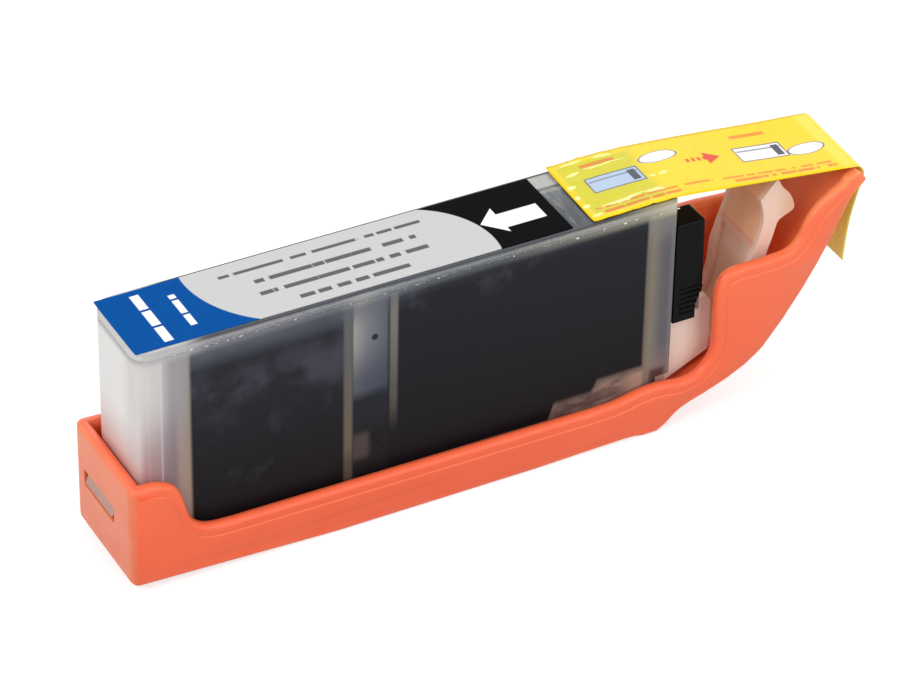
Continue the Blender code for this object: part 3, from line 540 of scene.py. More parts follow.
def frosted_finish():
    """Frosted plastic, dark where ink or a soaked absorber stands behind it."""
    paint = Paint("frosted_tank")
    where, x, y, z = paint.place()
    fine = paint.cloud(where, 5.0)
    cloudy = paint.cloud((x, y * 0.4, z), 0.22, 3.0, 0.52, 0.1)
    side = abs(y).ease(HALF - 1.1, HALF - 0.1)

    # The empty rear cell, with painted orange bounce light from the cap low down
    across = (x - 0.6) / 5.7
    wavy = z + cloudy * 3.0
    high = paint.ramp(
        across, (0.0, 220, 217, 214), (0.4, 212, 209, 210), (0.48, 189, 185, 187),
        (0.62, 164, 162, 168), (0.84, 164, 161, 163), (1.0, 158, 154, 148))
    # Painted bounce light: the lower part of the cell is painted pink, as if lit by the orange
    # cap
    low = paint.ramp(
        across, (0.0, 179, 141, 142), (0.4, 160, 134, 139), (0.5, 143, 126, 131),
        (0.68, 137, 121, 125), (0.8, 166, 145, 136), (1.0, 162, 140, 127))
    line = x.within(2.78, 3.02, 0.18) | x.within(1.28, 1.42, 0.2) * 0.5
    cell = paint.over(high, (wavy.ease(28.5, 15.5), low), (line * 0.28, (236, 228, 226)))
    # Painted light and shade: painted pink bounce light from the cap low down, and painted shade
    # towards the near side
    shell = paint.over(
        (255, 254, 252), (wavy.ease(24.0, 13.5), (226, 180, 174)),
        (y.ease(-1.0, -6.0) * 0.5, (206, 196, 194)), (side * (1 - x.ease(0.9, -0.1)), cell))

    # Ink behind the rear window and the soaked absorber behind the long one
    smear = paint.cloud((x * 1.2, y, z * 0.8), 0.24, 3.0, 0.55)
    haze = (cloudy.ease(0.36, 0.68) * z.within(20.5, 26.6, 5.0) * x.within(6.0, 27.0, 3.0)
            | smear.ease(0.54, 0.7) * z.within(9.5, 20.0, 5.0) * x.within(9.0, 25.0, 5.0) * 0.3)
    ink = paint.over(
        (18, 16, 19), (z.ease(8.0, 30.0), (36, 37, 44)), (haze * 0.42, (88, 88, 101)))
    foam = paint.over(
        (16, 15, 19), (z.ease(8.0, 30.0), (28, 29, 35)),
        (cloudy.ease(0.52, 0.7) * z.ease(25.5, 29.5) * 0.35, (84, 87, 97)))

    # The narrow channel with air over ink, a crack and a speck, between two walls
    air = paint.ramp(
        (x - 27.0) / 4.4, (0.0, 156, 153, 151), (0.4, 118, 122, 127), (1.0, 88, 92, 103))
    foot = x.within(26.8, 29.0, 1.1) * (z + fine).within(8.8, 12.4, 1.5)
    crack = abs((x - 28.9) * 1.75 + (z - 12.4)).ease(0.26, 0.05) * z.within(8.6, 12.4, 0.6)
    channel = paint.over(
        air, (z.ease(26.0, 18.5) * 0.85, (66, 70, 84)),
        ((z + cloudy * 1.4).ease(19.2, 17.2), (31, 33, 39)), (z.ease(14.5, 11.0), (22, 21, 25)),
        (foot * 0.42, (108, 92, 92)), (crack * 0.8, (4, 4, 5)),
        (oval(x - 29.7, z - 25.1, 0.26, 0.09), (38, 40, 46)))
    rib = paint.mix(z.ease(12.0, 27.0), (104, 93, 80), (96, 97, 97))
    wall = paint.mix(z.ease(14.0, 28.0), (82, 78, 72), (118, 116, 110))
    near_seam = (z.ease(27.0, 29.6) * x.ease(38.0, 24.0) * (0.25 + 0.75 * cloudy)
                 + z.ease(28.6, 29.8) * 0.16 * cloudy)
    wet = paint.over(
        ink, (x.ease(29.0, 33.0), foam), (x.within(26.9, 31.4, 0.5), channel),
        (x.within(25.75, 26.85, 0.5) * (0.55 + 0.45 * z.ease(8.0, 11.0)), rib),
        (x.within(31.65, 32.65, 0.45) * z.ease(10.0, 16.5), wall), (near_seam, (96, 99, 110)))

    # The stepped floor under the windows. Its pale pink patches are painted bounce light and
    # glints from the cap.
    level = z - (x.ease(52.6, 53.7) * 2.3 + x.ease(58.4, 59.5) * 1.5) - 5.25
    window = x.within(6.45, 65.55, 0.6) * level.ease(-0.3, 0.5) * side
    patch = paint.cloud((x * 0.5, y, z * 1.3), 0.55, 2.0)
    under = paint.over(
        (92, 74, 70), (patch.ease(0.35, 0.65), (150, 126, 116)),
        (x.ease(61.0, 65.0) * 0.7, (190, 158, 142)), (level.ease(-0.9, -0.2) * 0.6, (92, 80, 74)))

    # The solid end of the tank, with the painted shade of a notch at its foot and painted pink
    # bounce light from the cap low down
    lever = x.ease(END - 0.05, END + 0.15)
    tail = x.ease(65.3, 65.9) * side * (1 - lever)
    end = paint.ramp(
        (x - 65.6) / 4.0, (0.0, 110, 100, 92), (0.16, 128, 120, 106), (0.34, 116, 110, 104),
        (0.52, 99, 96, 100), (0.72, 94, 92, 99), (0.84, 112, 110, 114), (1.0, 104, 104, 112))
    notch_shade = x.within(66.5, 68.6, 0.9) * z.within(6.0, 8.2, 0.9)
    end = paint.over(
        end, (z.ease(25.5, 29.5) * 0.6, (134, 134, 129)),
        (z.ease(13.0, 8.0) * 0.5, (140, 116, 106)), (notch_shade * 0.8, (66, 34, 34)))

    # The latch lever and the tab in the cap's slot
    slant = z + x * 0.35
    ribbed = paint.cloud((x * 1.3, y * 1.2, z * 0.25), 0.5, 2.0).ease(0.35, 0.65)
    # Painted light and shade on the lever: a deeper tone on its upper facet and a dark crease
    # line as painted shade, and a painted highlight on its side edges; the ribbed streaks are the
    # plastic's own
    peach = paint.over(
        (255, 230, 212), (slant.ease(48.5, 49.5), (255, 206, 168)),
        (ribbed * 0.2, (246, 172, 140)), (slant.within(48.4, 49.3, 0.5) * 0.5, (236, 140, 116)),
        (abs(y).ease(3.3, 3.9) * 0.6, (255, 240, 230)),
        (x.ease(END + 14.0, END + 17.0) * 0.5, (226, 178, 132)))
    tab = x.ease(-0.5, -0.9)
    # The tab, with a painted highlight along its lower edge
    tongue = paint.mix(z.ease(5.4, 5.1), (198, 158, 148), (244, 214, 202))

    seam = (z + fine * 0.5).ease(29.8, 31.1) * x.ease(END + 0.1, END - 0.1)
    colour = paint.over(
        shell, (x.within(48.0, 66.5, 3.0) * z.ease(10.5, 9.0), under), (tail, end),
        (window, wet), (seam, edge_shade(paint, x)), (lever, peach), (tab, tongue))
    clear = (1 - window) * (1 - tail) * (1 - tab)
    ripple = paint.cloud(where, 0.45, 2.0)
    return paint.surface(
        colour, 0.34 + 0.16 * fine + 0.1 * cloudy, alpha=1.0 - clear * (0.1 + 0.08 * lever),
        normal=paint.bump(fine * 0.25 + ripple, 0.05, 0.6), specular=0.1)


def lid_finish():
    """Frosted plastic of the lid, with a dark margin, pale grit along the weld that is partly
    painted glints, and a painted highlight line on its edge.
    """
    paint = Paint("frosted_lid")
    where, x, y, z = paint.place()
    fine = paint.cloud(where, 5.0)
    grit_and_glints = paint.cloud((x * 1.4, y, z * 2.5), 1.3, 4.0, 0.7)
    margin = paint.over(
        (196, 196, 197), (x.ease(5.0, 9.0), (70, 74, 81)),
        (x.ease(60.0, 68.0) * 0.7, (196, 186, 150)))
    streaky = paint.cloud((x * 2.2, y * 0.35, z), 0.9, 3.0, 0.6)
    bare = paint.over(
        (62, 66, 71), (y.ease(-3.5, 4.0), (104, 107, 109)),
        ((y + streaky).ease(2.2, 3.8), (176, 177, 173)),
        (streaky.ease(0.48, 0.72) * 0.3, (150, 155, 154)), (x.ease(40.0, 10.0), (222, 222, 220)))
    top = z.ease(TOP - 1.0, TOP - 0.9) * abs(y).ease(HALF - 0.25, HALF - 0.5)
    # Painted light: pale grit specks partly as painted glints, and a painted highlight line along
    # the edge
    colour = paint.over(
        edge_shade(paint, x), (grit_and_glints.ease(0.35, 0.7) * 0.22, (206, 206, 206)),
        (z.within(31.15, 31.45, 0.25) * 0.18, (220, 220, 218)), (z.ease(31.5, 31.8), margin),
        (top, bare))
    return paint.surface(
        colour, 0.3 + 0.2 * fine, normal=paint.bump(fine * 0.2 + grit_and_glints, 0.06, 0.7),
        alpha=0.97 - 0.05 * grit_and_glints, specular=0.22)


def weld_tree(material):
    """Small lumps of melted plastic, scattered along a line with a fixed seed."""
    group = bpy.data.node_groups.new("weld_flash", "GeometryNodeTree")
    face = group.interface
    face.new_socket("Geometry", in_out="INPUT", socket_type="NodeSocketGeometry")
    for label, default in (("Spacing", 0.35), ("Lump size", 0.14), ("Scatter", 0.15)):
        socket = face.new_socket(label, in_out="INPUT", socket_type="NodeSocketFloat")
        socket.default_value = default * MM
    face.new_socket("Seed", in_out="INPUT", socket_type="NodeSocketInt").default_value = 7
    face.new_socket("Geometry", in_out="OUTPUT", socket_type="NodeSocketGeometry")
    node = Tree(group).node
    given = node("NodeGroupInput").outputs
    line = node("GeometryNodeMeshToCurve", None, {"Mesh": given["Geometry"]})
    beads = node("GeometryNodeResampleCurve", {"mode": "LENGTH"},
                 {"Curve": line, "Length": given["Spacing"]})
    lump = node(
        "GeometryNodeMeshIcoSphere", None, {"Radius": given["Lump size"], "Subdivisions": 2})

    def random(low, high, seed):
        return node("FunctionNodeRandomValue", {"data_type": "FLOAT_VECTOR"},
                    {"Min": low, "Max": high, "Seed": seed})

    size = random((0.35, 0.25, 0.25), (1.9, 1.0, 0.9), given["Seed"])
    shift = random((-1.0, 0.0, 0.0), (1.0, 0.0, 0.0), 11)
    along = node("ShaderNodeVectorMath", {"operation": "SCALE"},
                 {"Vector": shift, "Scale": given["Scatter"]})
    level = random((0.0, -0.03 * MM, -0.13 * MM), (0.0, 0.03 * MM, 0.13 * MM), 5)
    both = node("ShaderNodeVectorMath", {"operation": "ADD"}, (along, level))
    moved = node("GeometryNodeSetPosition", None, {"Geometry": beads, "Offset": both})
    put = node(
        "GeometryNodeInstanceOnPoints", None, {"Points": moved, "Instance": lump, "Scale": size})
    real = node("GeometryNodeRealizeInstances", None, {"Geometry": put})
    done = node("GeometryNodeSetMaterial", None, {"Geometry": real, "Material": material})
    node("NodeGroupOutput", None, {"Geometry": done})
    return group


def weld_line():
    """Lines of the seam on both sides of the tank, as a mesh of edges."""
    out = HALF - 0.08
    corner = 2.0
    turn = [(0.22 + corner * (1 - cos(a)), -out + corner * (1 - sin(a)))
            for a in (radians(n * 15) for n in range(7))]
    near = [(END - 0.1, -out)] + turn[::-1]
    ring = near + [(x, -y) for x, y in near[::-1]]
    mesh = bpy.data.meshes.new("weld_line")
    points = [metres((x, y, SEAM)) for x, y in ring]
    gaps = (len(near) - 1, len(ring) - 1)
    mesh.from_pydata(points, [(n, n + 1) for n in range(len(ring)) if n not in gaps], [])
    return mesh


# Films

def label_finish(settings):
    """Printed film: a blue field, a grey field and a black field with an arrow."""
    paint = Paint("label_print")
    x, y = paint.place()[1:3]
    flat = paint.point(x, y)
    layers = []
    for middle, left, right, tall in (
            (3.45, 14.6, 40.2, 0.42), (1.0, 18.0, 38.4, 0.6), (-1.4, 17.6, 38.8, 0.6),
            (-3.85, 21.4, 35.2, 0.6)):
        words = paint.cloud((x, middle * 3.0), 0.8, 0.0).ease(0.33, 0.36)
        row = bar(x - (left + right) / 2, y - middle, right - left, tall, 0.12)
        layers.append((row * words * 0.8, (30, 30, 33)))
    blue = paint.mix(paint.cloud(flat, 0.8, 2.0), settings.blue, (0, 84, 158))
    for middle, low, high, wide, lot in ((4.6, -4.9, 4.7, 1.0, 0.3), (8.4, -3.3, 2.9, 0.7, 0.33)):
        text = bar(x - middle, y - (low + high) / 2, wide, high - low, 0.12)
        gaps = (y * lot + middle).math("FRACT").ease(0.1, 0.14)
        blue = paint.mix(text * gaps, blue, (246, 247, 250))
    round_end = oval((x - 23.59) / 12.99, (y - 4.43) / 12.99, 1.012, 0.988)
    layers.append((x.ease(23.6, 23.5) * (1 - round_end), blue))
    past = x - 46.2
    head = (x.within(46.2, 48.75, 0.05)
            * (abs(y + 0.35 + past * 0.0575) - past * 1.02).ease(0.06, -0.06))
    shaft = bar(x - 51.2, y + 0.75, 5.4, 2.75, 0.12) * x.ease(48.3, 48.35)
    black = paint.over(
        (1, 1, 1), (paint.cloud(flat, 0.8, 2.0), (5, 5, 6)), (shaft | head, (246, 246, 246)))
    round_end = oval((x - 36.01) / 10.36, (y + 3.43) / 10.36, 1.012, 0.988)
    layers.append((x.ease(36.9, 37.0) * (1 - round_end), black))
    grey = paint.mix(paint.cloud(flat, 0.5), (198, 198, 199), (203, 203, 204))
    return paint.surface(
        paint.over(grey, *layers), 0.46 + 0.06 * paint.cloud(flat, 3.0, 2.0),
        normal=paint.bump(paint.cloud(flat, 0.3, 2.0), 0.04, 0.4), specular=0.015)


def tape_lines():
    """Near and far edge of the tape as points of X, Y and Z, with equal knots."""
    stuck = TAPE_START - END
    near = ((stuck, -5.75, 0.12), (stuck + 5.6, -5.7, 0.12), (0.1, -5.7, 0.14), (8.0, -5.7, -0.8),
            (17.0, -5.7, -1.95), (24.3, -5.7, -2.9), (25.25, -5.7, -3.15), (25.85, -5.7, -3.85),
            (25.85, -5.7, -4.9), (25.2, -5.65, -7.2), (24.4, -5.6, -11.0), (23.9, -5.6, -16.3))
    far = (
        (stuck + 0.15, 6.25, 0.35), (stuck + 5.6, 6.3, 0.45), (0.1, 6.3, 0.2), (8.0, 6.3, -0.55),
        (17.0, 6.3, -1.6), (24.0, 6.3, -2.3), (25.2, 6.3, -2.65), (25.95, 6.3, -3.5),
        (25.95, 6.3, -4.7), (25.3, 6.3, -7.2), (24.4, 6.3, -11.0), (23.9, 6.3, -16.3))
    return [smooth([(END + x, y, TOP + z) for x, y, z in edge], 14) for edge in (near, far)]


def tape_mesh():
    """The tape as a strip with crinkles where it is stuck and a fold at the tail."""
    near, far = tape_lines()
    across = 26
    shape = bmesh.new()
    flat = shape.loops.layers.uv.new("UVMap")
    run = [0.0]
    for a, b in zip(near, near[1:]):
        run.append(run[-1] + (Vector(b) - Vector(a)).length)
    long = run[-1]
    grid = []
    for n, (a, b) in enumerate(zip(near, far)):
        row = []
        for m in range(across + 1):
            t = m / across
            point = Vector(a).lerp(Vector(b), t)
            stuck = 1.0 - through(run[n] - TAPE_STUCK, 3.0)
            crease = noise.noise((run[n] * 0.38, t * 3.2, 2.0))
            ridge = through(0.3 - abs(crease), 0.3)
            edge = through(abs(2 * t - 1) - 0.55, 0.45)
            point.z += stuck * (0.09 * ridge ** 2 * (0.4 + edge) + 0.14 * edge ** 2
                                * max(0.0, noise.noise((run[n] * 0.22, t * 2, 9.0))))
            free = through(run[n] - TAPE_STUCK - 1.5, 4.0) * through(36.0 - run[n], 3.0)
            point.z += free * 0.25 * (1 - (2 * t - 1) ** 2) * sin(run[n] * 0.16)
            row.append(shape.verts.new(metres(point)))
        grid.append(row)
    for n in range(len(grid) - 1):
        for m in range(across):
            corners = ((n, m), (n + 1, m), (n + 1, m + 1), (n, m + 1))
            face = shape.faces.new([grid[i][j] for i, j in corners])
            for loop, (i, j) in zip(face.loops, corners):
                loop[flat].uv = (run[i] / long, j / across)
    bmesh.ops.recalc_face_normals(shape, faces=shape.faces)
    if sum(face.normal.z for face in shape.faces) < 0:
        bmesh.ops.reverse_faces(shape, faces=shape.faces)
    mesh = closed(shape, bpy.data.meshes.new("tape"))
    mesh.shade_smooth()
    return mesh, long


def tape_finish(settings, long):
    """Yellow film with red print, greener and glossier where it is stuck down."""
    paint = Paint("yellow_film")
    where, s, t = paint.flat(long, TAPE_WIDE)
    patch = paint.cloud(where, 0.12, 2.0)
    stuck = (s + patch * 2.0).ease(12.8, 10.4)
    streak = paint.cloud((s * 0.12, t), 0.7, 2.0).ease(0.35, 0.65)
    layers = [
        (stuck * s.ease(0.3, 1.2) * t.within(0.8, 11.2, 0.8) * 0.82, (196, 198, 18)),
        # Painted light: the hanging end is painted pale as if lit through the film, and a painted
        # highlight lies along the fold
        (s.ease(36.6, 37.4) * (0.75 + 0.25 * streak), (255, 252, 146)),
        (s.within(34.6, 36.8, 0.8) * 0.35, (255, 240, 120))]

    # Rows of red bars in the place of words, and two longer bars above them
    for left, right, row, tall in (
            (1.5, 17.2, 2.05, 0.26), (2.2, 12.4, 1.2, 0.4), (18.6, 34.6, 1.95, 0.26),
            (19.6, 34.0, 1.15, 0.4)):
        words = paint.cloud((s, row * 5.0), 1.5, 0.0).ease(0.36, 0.42)
        line = bar(s - (left + right) / 2, t - row, right - left, tall)
        layers.append((line * words * 0.7, PRINT_RED))
    for middle, row, length in ((6.0, 10.2, 4.6), (26.6, 9.9, 4.8)):
        layers.append((bar(s - middle, t - row, length, 0.5) * 0.65, PRINT_RED))

    # Two plain boxes, each with a stripe, a dark end and an oval beside it
    for middle, row, length, width, body in (
            (6.4, 6.3, 7.0, 2.9, (176, 196, 220)), (26.4, 6.2, 6.6, 3.0, (240, 240, 240))):
        u, v = s - middle, t - row
        layers += [
            (bar(u, v, length, width), (86, 92, 104)),
            (bar(u, v, length - 0.35, width - 0.35), body),
            (bar(u, v - width * 0.22, length - 0.6, 0.16), (130, 138, 150)),
            (bar(u - length * 0.36, v, 0.9, width - 0.9), (66, 66, 84))]
    for middle, row in ((13.4, 8.6), (32.4, 5.4)):
        u = (s - middle) * 0.4
        v = t - row - (s - middle) * 0.06
        ring = (u * u + v * v).math("SQRT")
        layers += [
            (ring.ease(1.12, 1.06), (110, 106, 132)), (ring.ease(1.02, 0.96), (240, 236, 242))]

    # The arrow between the boxes, with a dotted shaft
    dots = (s * 1.25).math("FRACT").within(0.2, 0.75, 0.15)
    tip = (s - 20.9) * -0.62
    head = s.within(18.9, 20.9, 0.08) * (abs(t - 6.6) - tip).ease(0.06, -0.06)
    layers += [(bar(s - 17.6, t - 6.6, 2.8, 0.62) * dots, PRINT_RED), (head, PRINT_RED)]

    crinkle = paint.cloud((s * 0.5, t * 0.9), 0.8, 2.0, 0.5, 0.3)
    glint = None
    for middle, row, length, width, lean in GLINTS:
        u = (s - middle) / length
        v = (t - row - (s - middle) * lean + (crinkle - 0.5) * 0.9) / width
        spot = oval(u, v, 1.0, 0.35)
        glint = spot if glint is None else glint | spot
    layers.append((glint * 0.72, (255, 250, 176)))
    film = paint.mix(patch, settings.yellow, (255, 204, 2))
    return paint.surface(
        paint.over(film, *layers), 0.22 + 0.14 * paint.cloud(where, 1.2),
        normal=paint.bump(crinkle * (0.15 + stuck), 0.22, 0.6), specular=0.16,
        subsurface_weight=0.65, subsurface_radius=(1.0, 1.0, 1.0), subsurface_scale=0.09 * MM)


# Small pieces

def mottled_finish(name, deep, pale, waves, rough, relief=None, **sockets):
    """A plain finish: one noise gives its colour, its gloss and any relief it has."""
    paint = Paint(name)
    fine = paint.cloud(paint.place()[0], *waves)
    if relief:
        sockets["normal"] = paint.bump(fine, *relief)
    return paint.surface(paint.mix(fine, deep, pale), rough[0] + rough[1] * fine, **sockets)


def soaked_finish(name, pale, deep, scale, rough):
    """An open cell foam or a felt that is wet with ink."""
    paint = Paint(name)
    cells = paint.value(
        "ShaderNodeTexVoronoi", {"feature": "F1"}, {"Vector": paint.place()[0], "Scale": scale})
    return paint.surface(
        paint.mix(cells.ease(0.1, 0.8), deep, pale), rough + 0.1 * cells,
        normal=paint.bump(cells, 0.12, 0.8))


def steel_finish(name, pitch=0.0):
    """Bright steel with fine turning marks, or a fine woven screen."""
    paint = Paint(name)
    x, y, z = paint.place()[1:]
    fine = paint.cloud((x, y, z * 6.0), 2.0)
    height = fine
    if pitch:
        turn = 2 * pi / pitch
        height = (x * turn).math("SINE") * (y * turn).math("SINE")
    colour = paint.mix(height.ease(0.0, 0.8), (150, 152, 156), (206, 207, 210))
    return paint.surface(
        colour, 0.22 + 0.14 * fine, metallic=1.0, normal=paint.bump(height, 0.05, 0.6))


def board_finish():
    """Green laminate with gold contacts on the raised pads of its underside."""
    paint = Paint("chip_laminate")
    x, y, z = paint.place()[1:]
    slope = radians(25.5)
    across = (x - END) * cos(slope) + (z - 3.0) * sin(slope)
    deep = (z - 3.0) * cos(slope) - (x - END) * sin(slope)
    fine = paint.cloud((across, y, deep), 3.0)
    pads = (y / 1.5).math("FRACT").within(0.14, 0.86, 0.03)
    gold = pads * deep.ease(-2.3, -2.4) * abs(y).ease(3.05, 2.95)
    colour = paint.over((18, 84, 50), (fine, (26, 104, 62)), (gold, (214, 172, 92)))
    return paint.surface(
        colour, 0.38 + 0.1 * fine, metallic=gold * 0.9, normal=paint.bump(fine, 0.03, 0.4))


# Settings

def colour_setting(name, note, *steps):
    return FloatVectorProperty(
        name=name, description=note, subtype="COLOR", size=3, default=tint(*steps))


def length_setting(name, note, default):
    return FloatProperty(
        name=name, description=note, subtype="DISTANCE", unit="LENGTH", default=default)


def limited_setting(name, note, default, low, high):
    return FloatProperty(name=name, description=note, default=default, min=low, max=high)


def angle_setting(name, note, degrees):
    return FloatProperty(name=name, description=note, subtype="ANGLE", default=radians(degrees))


class CapSettings(bpy.types.PropertyGroup):
    colour: colour_setting("Colour", "Colour of the moulded cap", 255, 116, 74)
    # The deep colour is the painted shade low on the cap and towards its rear
    deep: colour_setting("Deep colour", "Colour low on the cap", 243, 102, 64)
    drop: limited_setting("Land", "Height of the land along the rim, in mm", 1.35, 0.5, 3.0)
    proud: limited_setting("Panel", "How far the side panel stands out, in mm", 0.16, 0.02, 0.3)


class TankSettings(bpy.types.PropertyGroup):
    rounding: limited_setting("Edge", "Rounding of the tank's edges, in mm", 0.18, 0.05, 0.4)
    tab: limited_setting("Tab", "How far the rear tab fills its slot, in mm", 0.48, 0.0, 0.6)
    spacing: length_setting("Weld spacing", "Distance between weld lumps", 0.42 * MM)
    lump: length_setting("Weld lump", "Size of a weld lump", 0.1 * MM)
    bead: length_setting("Weld bead", "Size of a larger weld bead", 0.17 * MM)
    seed: IntProperty(name="Seed", description="Seed of the weld lumps", default=7)


class FilmSettings(bpy.types.PropertyGroup):
    blue: colour_setting("Blue", "Blue field of the label", 0, 72, 150)
    yellow: colour_setting("Yellow", "Colour of the pull tape", 255, 214, 4)
    thickness: length_setting("Tape", "Thickness of the pull tape", 0.06 * MM)


class StageSettings(bpy.types.PropertyGroup):
    azimuth: angle_setting("Azimuth", "Turn of the camera about the object", -28.608)
    elevation: angle_setting("Elevation", "Angle of the camera above the floor", 35.885)
    roll: angle_setting("Roll", "Tilt of the camera about its view", 1.139)
    distance: length_setting("Distance", "Distance from the camera to its aim", 0.52985)
    lens: FloatProperty(name="Lens", description="Focal length of the camera, in mm",
                        default=180.44)
    sky: FloatProperty(name="Sky", description="Strength of the even light all round",
                       default=0.5)
    key: FloatProperty(name="Key", description="Power of the main lamp",
                       subtype="POWER", unit="POWER", default=4.55)


# Operators

class InkTankOperator(bpy.types.Operator):
    bl_options = {"REGISTER", "UNDO"}


class INKTANK_OT_cap(InkTankOperator):
    """Make the protective cap and its raised side panels"""
    bl_idname = "ink_tank.cap"
    bl_label = "Protective cap"

    def execute(self, context):
        settings = context.scene.ink_tank_cap
        finish = cap_finish(settings)
        finish_piece(softened("protective_cap", 0.0, 40), "cap_moulding", finish,
                     "orange_cap", "protective_cap")
        for side, name in ((-1, "cap_panel_near"), (1, "cap_panel_far")):
            panel = cap_panel(side, settings.drop, settings.proud)
            panel.shade_smooth()
            panel.set_sharp_from_angle(angle=FOLD)
            finish_piece(panel, name, finish, "orange_cap")
        return {"FINISHED"}


class INKTANK_OT_tank(InkTankOperator):
    """Make the frosted tank with its latch lever, its lid and the weld between them"""
    bl_idname = "ink_tank.tank"
    bl_label = "Tank and lid"

    def execute(self, context):
        settings = context.scene.ink_tank_body
        mesh = softened("tank_body", settings.rounding)
        tab = [vert for vert in mesh.vertices if vert.co.x < REAR - 0.9 * MM]
        middle = sum((vert.co for vert in tab), Vector()) / len(tab)
        for vert in tab:
            vert.co.x -= settings.tab * MM
            vert.co.y += 0.5 * MM * (1 if vert.co.y > middle.y else -1)
            vert.co.z += 0.2 * MM * (1 if vert.co.z > middle.z else -1)
        finish_piece(mesh, "tank_moulding", frosted_finish(), "frosted_tank", "tank_body")
        finish_piece(softened("tank_lid", settings.rounding), "lid_moulding", lid_finish(),
                     "frosted_lid", "tank_lid")
        glint = mottled_finish(
            "weld_flash", (186, 188, 192), (250, 250, 250), (3.0, 2.0), (0.16, 0.12),
            specular=0.7)
        tree = weld_tree(glint)
        sockets = {item.name: item.identifier for item in tree.interface.items_tree
                   if item.in_out == "INPUT"}
        for name, spacing, lump in (("weld_flash", settings.spacing, settings.lump),
                                    ("weld_beads", settings.spacing * 6, settings.bead)):
            line = loose(weld_line(), "weld_line")
            step = line.modifiers.new("weld", "NODES")
            step.node_group = tree
            step[sockets["Spacing"]] = spacing
            step[sockets["Lump size"]] = lump
            step[sockets["Scatter"]] = spacing * 0.45
            step[sockets["Seed"]] = settings.seed
            weld = applied(line)
            weld.shade_smooth()
            finish_piece(weld, name, glint, "frosted_lid")
        return {"FINISHED"}


class INKTANK_OT_contents(InkTankOperator):
    """Finish the ink, the absorbers, the wick, the screen and the fill ball"""
    bl_idname = "ink_tank.contents"
    bl_label = "Contents"

    def execute(self, context):
        ink = mottled_finish(
            "black_ink", (10, 10, 14), (22, 22, 29), (0.3, 3.0, 0.5, 1.0), (0.1, 0.1),
            specular=0.5)
        finish_nodes(
            ink_reserve=ink, ink_column=ink,
            absorber_main=soaked_finish("soaked_foam", (40, 40, 47), (14, 14, 17), 2.6, 0.6),
            absorber_dense=soaked_finish("dense_foam", (44, 43, 48), (20, 19, 22), 5.0, 0.7),
            outlet_wick=soaked_finish("wick_felt", (84, 82, 84), (40, 38, 40), 7.0, 0.8),
            outlet_screen=steel_finish("steel_screen", 0.3),
            fill_ball=steel_finish("bright_steel"))
        return {"FINISHED"}


class INKTANK_OT_small(InkTankOperator):
    """Finish the end block, the chip board, its potting and the seal pad"""
    bl_idname = "ink_tank.small"
    bl_label = "Block, chip and seal"

    def execute(self, context):
        black = mottled_finish(
            "black_block", (6, 6, 7), (14, 14, 16), (4.0,), (0.26, 0.12), (0.03, 0.4),
            specular=0.06)
        finish_piece(softened("end_block", 0.05, 35, BLOCK_SHOULDER, 0.4), "block_moulding",
                     black, "black_block", "end_block")
        rubber = mottled_finish(
            "seal_rubber", (196, 190, 178), (218, 213, 202), (2.4, 4.0), (0.55, 0.2), (0.05, 0.6))
        potting = mottled_finish(
            "potting_resin", (12, 12, 13), (22, 22, 24), (0.9, 2.0), (0.22, 0.1), (0.08, 0.5))
        finish_nodes(chip_board=board_finish(), cap_seal_pad=rubber, chip_potting=potting)
        return {"FINISHED"}


class INKTANK_OT_films(InkTankOperator):
    """Print the top label and make the pull tape"""
    bl_idname = "ink_tank.films"
    bl_label = "Label and tape"

    def execute(self, context):
        settings = context.scene.ink_tank_films
        finish_nodes(top_label=label_finish(settings))
        mesh, long = tape_mesh()
        tape = finish_piece(
            mesh, "tape_film", tape_finish(settings, long), "yellow_film", "pull_tape")
        skin = tape.modifiers.new("thickness", "SOLIDIFY")
        skin.thickness = settings.thickness
        skin.offset = 0.0
        return {"FINISHED"}


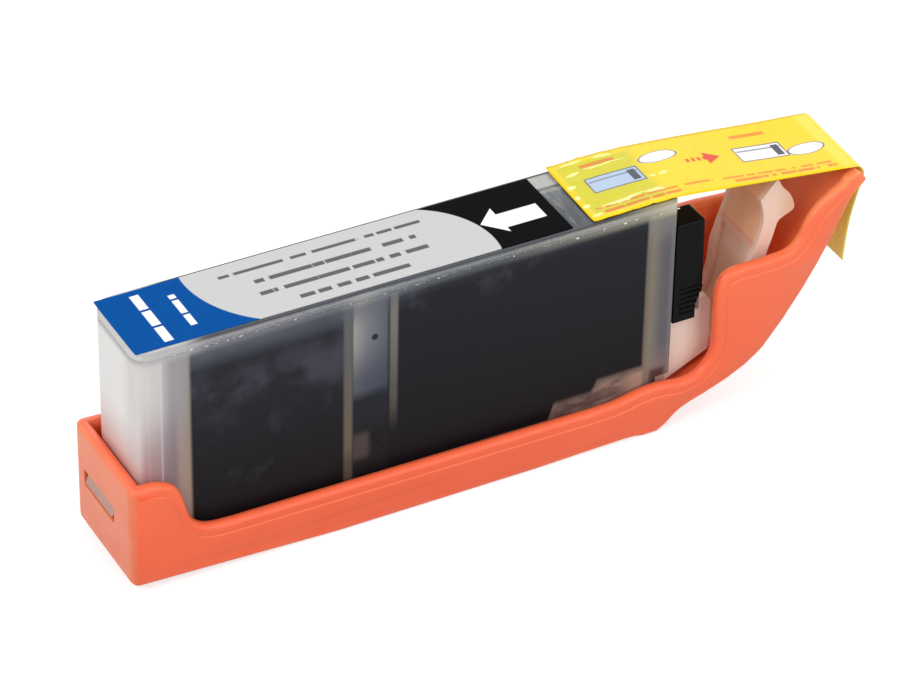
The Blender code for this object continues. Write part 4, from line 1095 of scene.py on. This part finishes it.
class INKTANK_OT_stage(InkTankOperator):
    """Make the floor, the lamps and the camera"""
    bl_idname = "ink_tank.stage"
    bl_label = "Stage"

    def execute(self, context):
        settings = context.scene.ink_tank_stage
        scene = context.scene
        scene.view_settings.view_transform = "Standard"
        paint = Paint("white_floor")
        plain = paint.node("ShaderNodeBsdfDiffuse", None, {"Color": (FLOOR_GREY,) * 3})
        glow = paint.node("ShaderNodeEmission", None, {"Strength": FLOOR_GLOW})
        both = paint.node("ShaderNodeAddShader", None, (plain, glow))
        mesh = bpy.data.meshes.new("floor")
        mesh.from_pydata([(x * FLOOR_HALF, y * FLOOR_HALF, 0)
                          for x, y in ((-1, -1), (1, -1), (1, 1), (-1, 1))], [], [(0, 1, 2, 3)])
        mesh.materials.append(paint.show(paint.seen_as(plain, both)))
        loose(mesh, "floor")

        world = bpy.data.worlds.new("studio")
        world.use_nodes = True
        sky = Tree(world.node_tree)
        light = sky.node("ShaderNodeBackground", None,
                         {"Color": (1.0, 0.995, 0.985), "Strength": settings.sky})
        backdrop = sky.node("ShaderNodeBackground", None, {"Color": (1.0, 1.0, 1.0)})
        sky.node("ShaderNodeOutputWorld", None, (sky.seen_as(light, backdrop),))
        scene.world = world
        for name, spot, wide, power in LAMPS:
            lamp = bpy.data.lights.new(name, "AREA")
            lamp.size = wide
            lamp.energy = settings.key * power
            item = loose(lamp, name)
            item.location = spot
            item.rotation_euler = Vector(spot).to_track_quat("Z", "Y").to_euler()
        self.add_camera(scene, settings)
        return {"FINISHED"}

    def add_camera(self, scene, settings):
        """The camera looks at one point of the tank from a set angle and distance."""
        turn = (Matrix.Rotation(settings.azimuth, 4, "Z")
                @ Matrix.Rotation(pi / 2 - settings.elevation, 4, "X")
                @ Matrix.Rotation(settings.roll, 4, "Z"))
        data = bpy.data.cameras.new("camera")
        data.lens = settings.lens
        data.sensor_width = 36.0
        camera = loose(data, "camera")
        camera.matrix_world = (Matrix.Translation(Vector(AIM) * MM) @ turn
                               @ Matrix.Translation((0, 0, settings.distance)))
        scene.camera = camera


class INKTANK_PT_panel(bpy.types.Panel):
    """Pieces and settings of the ink tank"""
    bl_label = "Ink tank"
    bl_idname = "INKTANK_PT_panel"
    bl_space_type = "VIEW_3D"
    bl_region_type = "UI"
    bl_category = "Ink Tank"

    def draw(self, context):
        for name, _kind in SETTINGS:
            box = self.layout.box()
            group = getattr(context.scene, name)
            for key in group.bl_rna.properties.keys():
                if key not in ("rna_type", "name"):
                    box.prop(group, key)
        for operator in OPERATORS:
            self.layout.operator(operator.bl_idname)


SETTINGS = (
    ("ink_tank_cap", CapSettings), ("ink_tank_body", TankSettings),
    ("ink_tank_films", FilmSettings), ("ink_tank_stage", StageSettings))
OPERATORS = (
    INKTANK_OT_cap, INKTANK_OT_tank, INKTANK_OT_contents, INKTANK_OT_small, INKTANK_OT_films,
    INKTANK_OT_stage)
CLASSES = tuple(kind for _name, kind in SETTINGS) + OPERATORS + (INKTANK_PT_panel,)


def register():
    for kind in CLASSES:
        bpy.utils.register_class(kind)
    for name, kind in SETTINGS:
        setattr(bpy.types.Scene, name, PointerProperty(type=kind))


def unregister():
    for name, _kind in SETTINGS:
        delattr(bpy.types.Scene, name)
    for kind in reversed(CLASSES):
        bpy.utils.unregister_class(kind)


def main():
    """Makes every piece in order."""
    register()
    bpy.ops.ink_tank.cap()
    bpy.ops.ink_tank.tank()
    bpy.ops.ink_tank.contents()
    bpy.ops.ink_tank.small()
    bpy.ops.ink_tank.films()
    bpy.ops.ink_tank.stage()


if __name__ == "__main__":
    main()
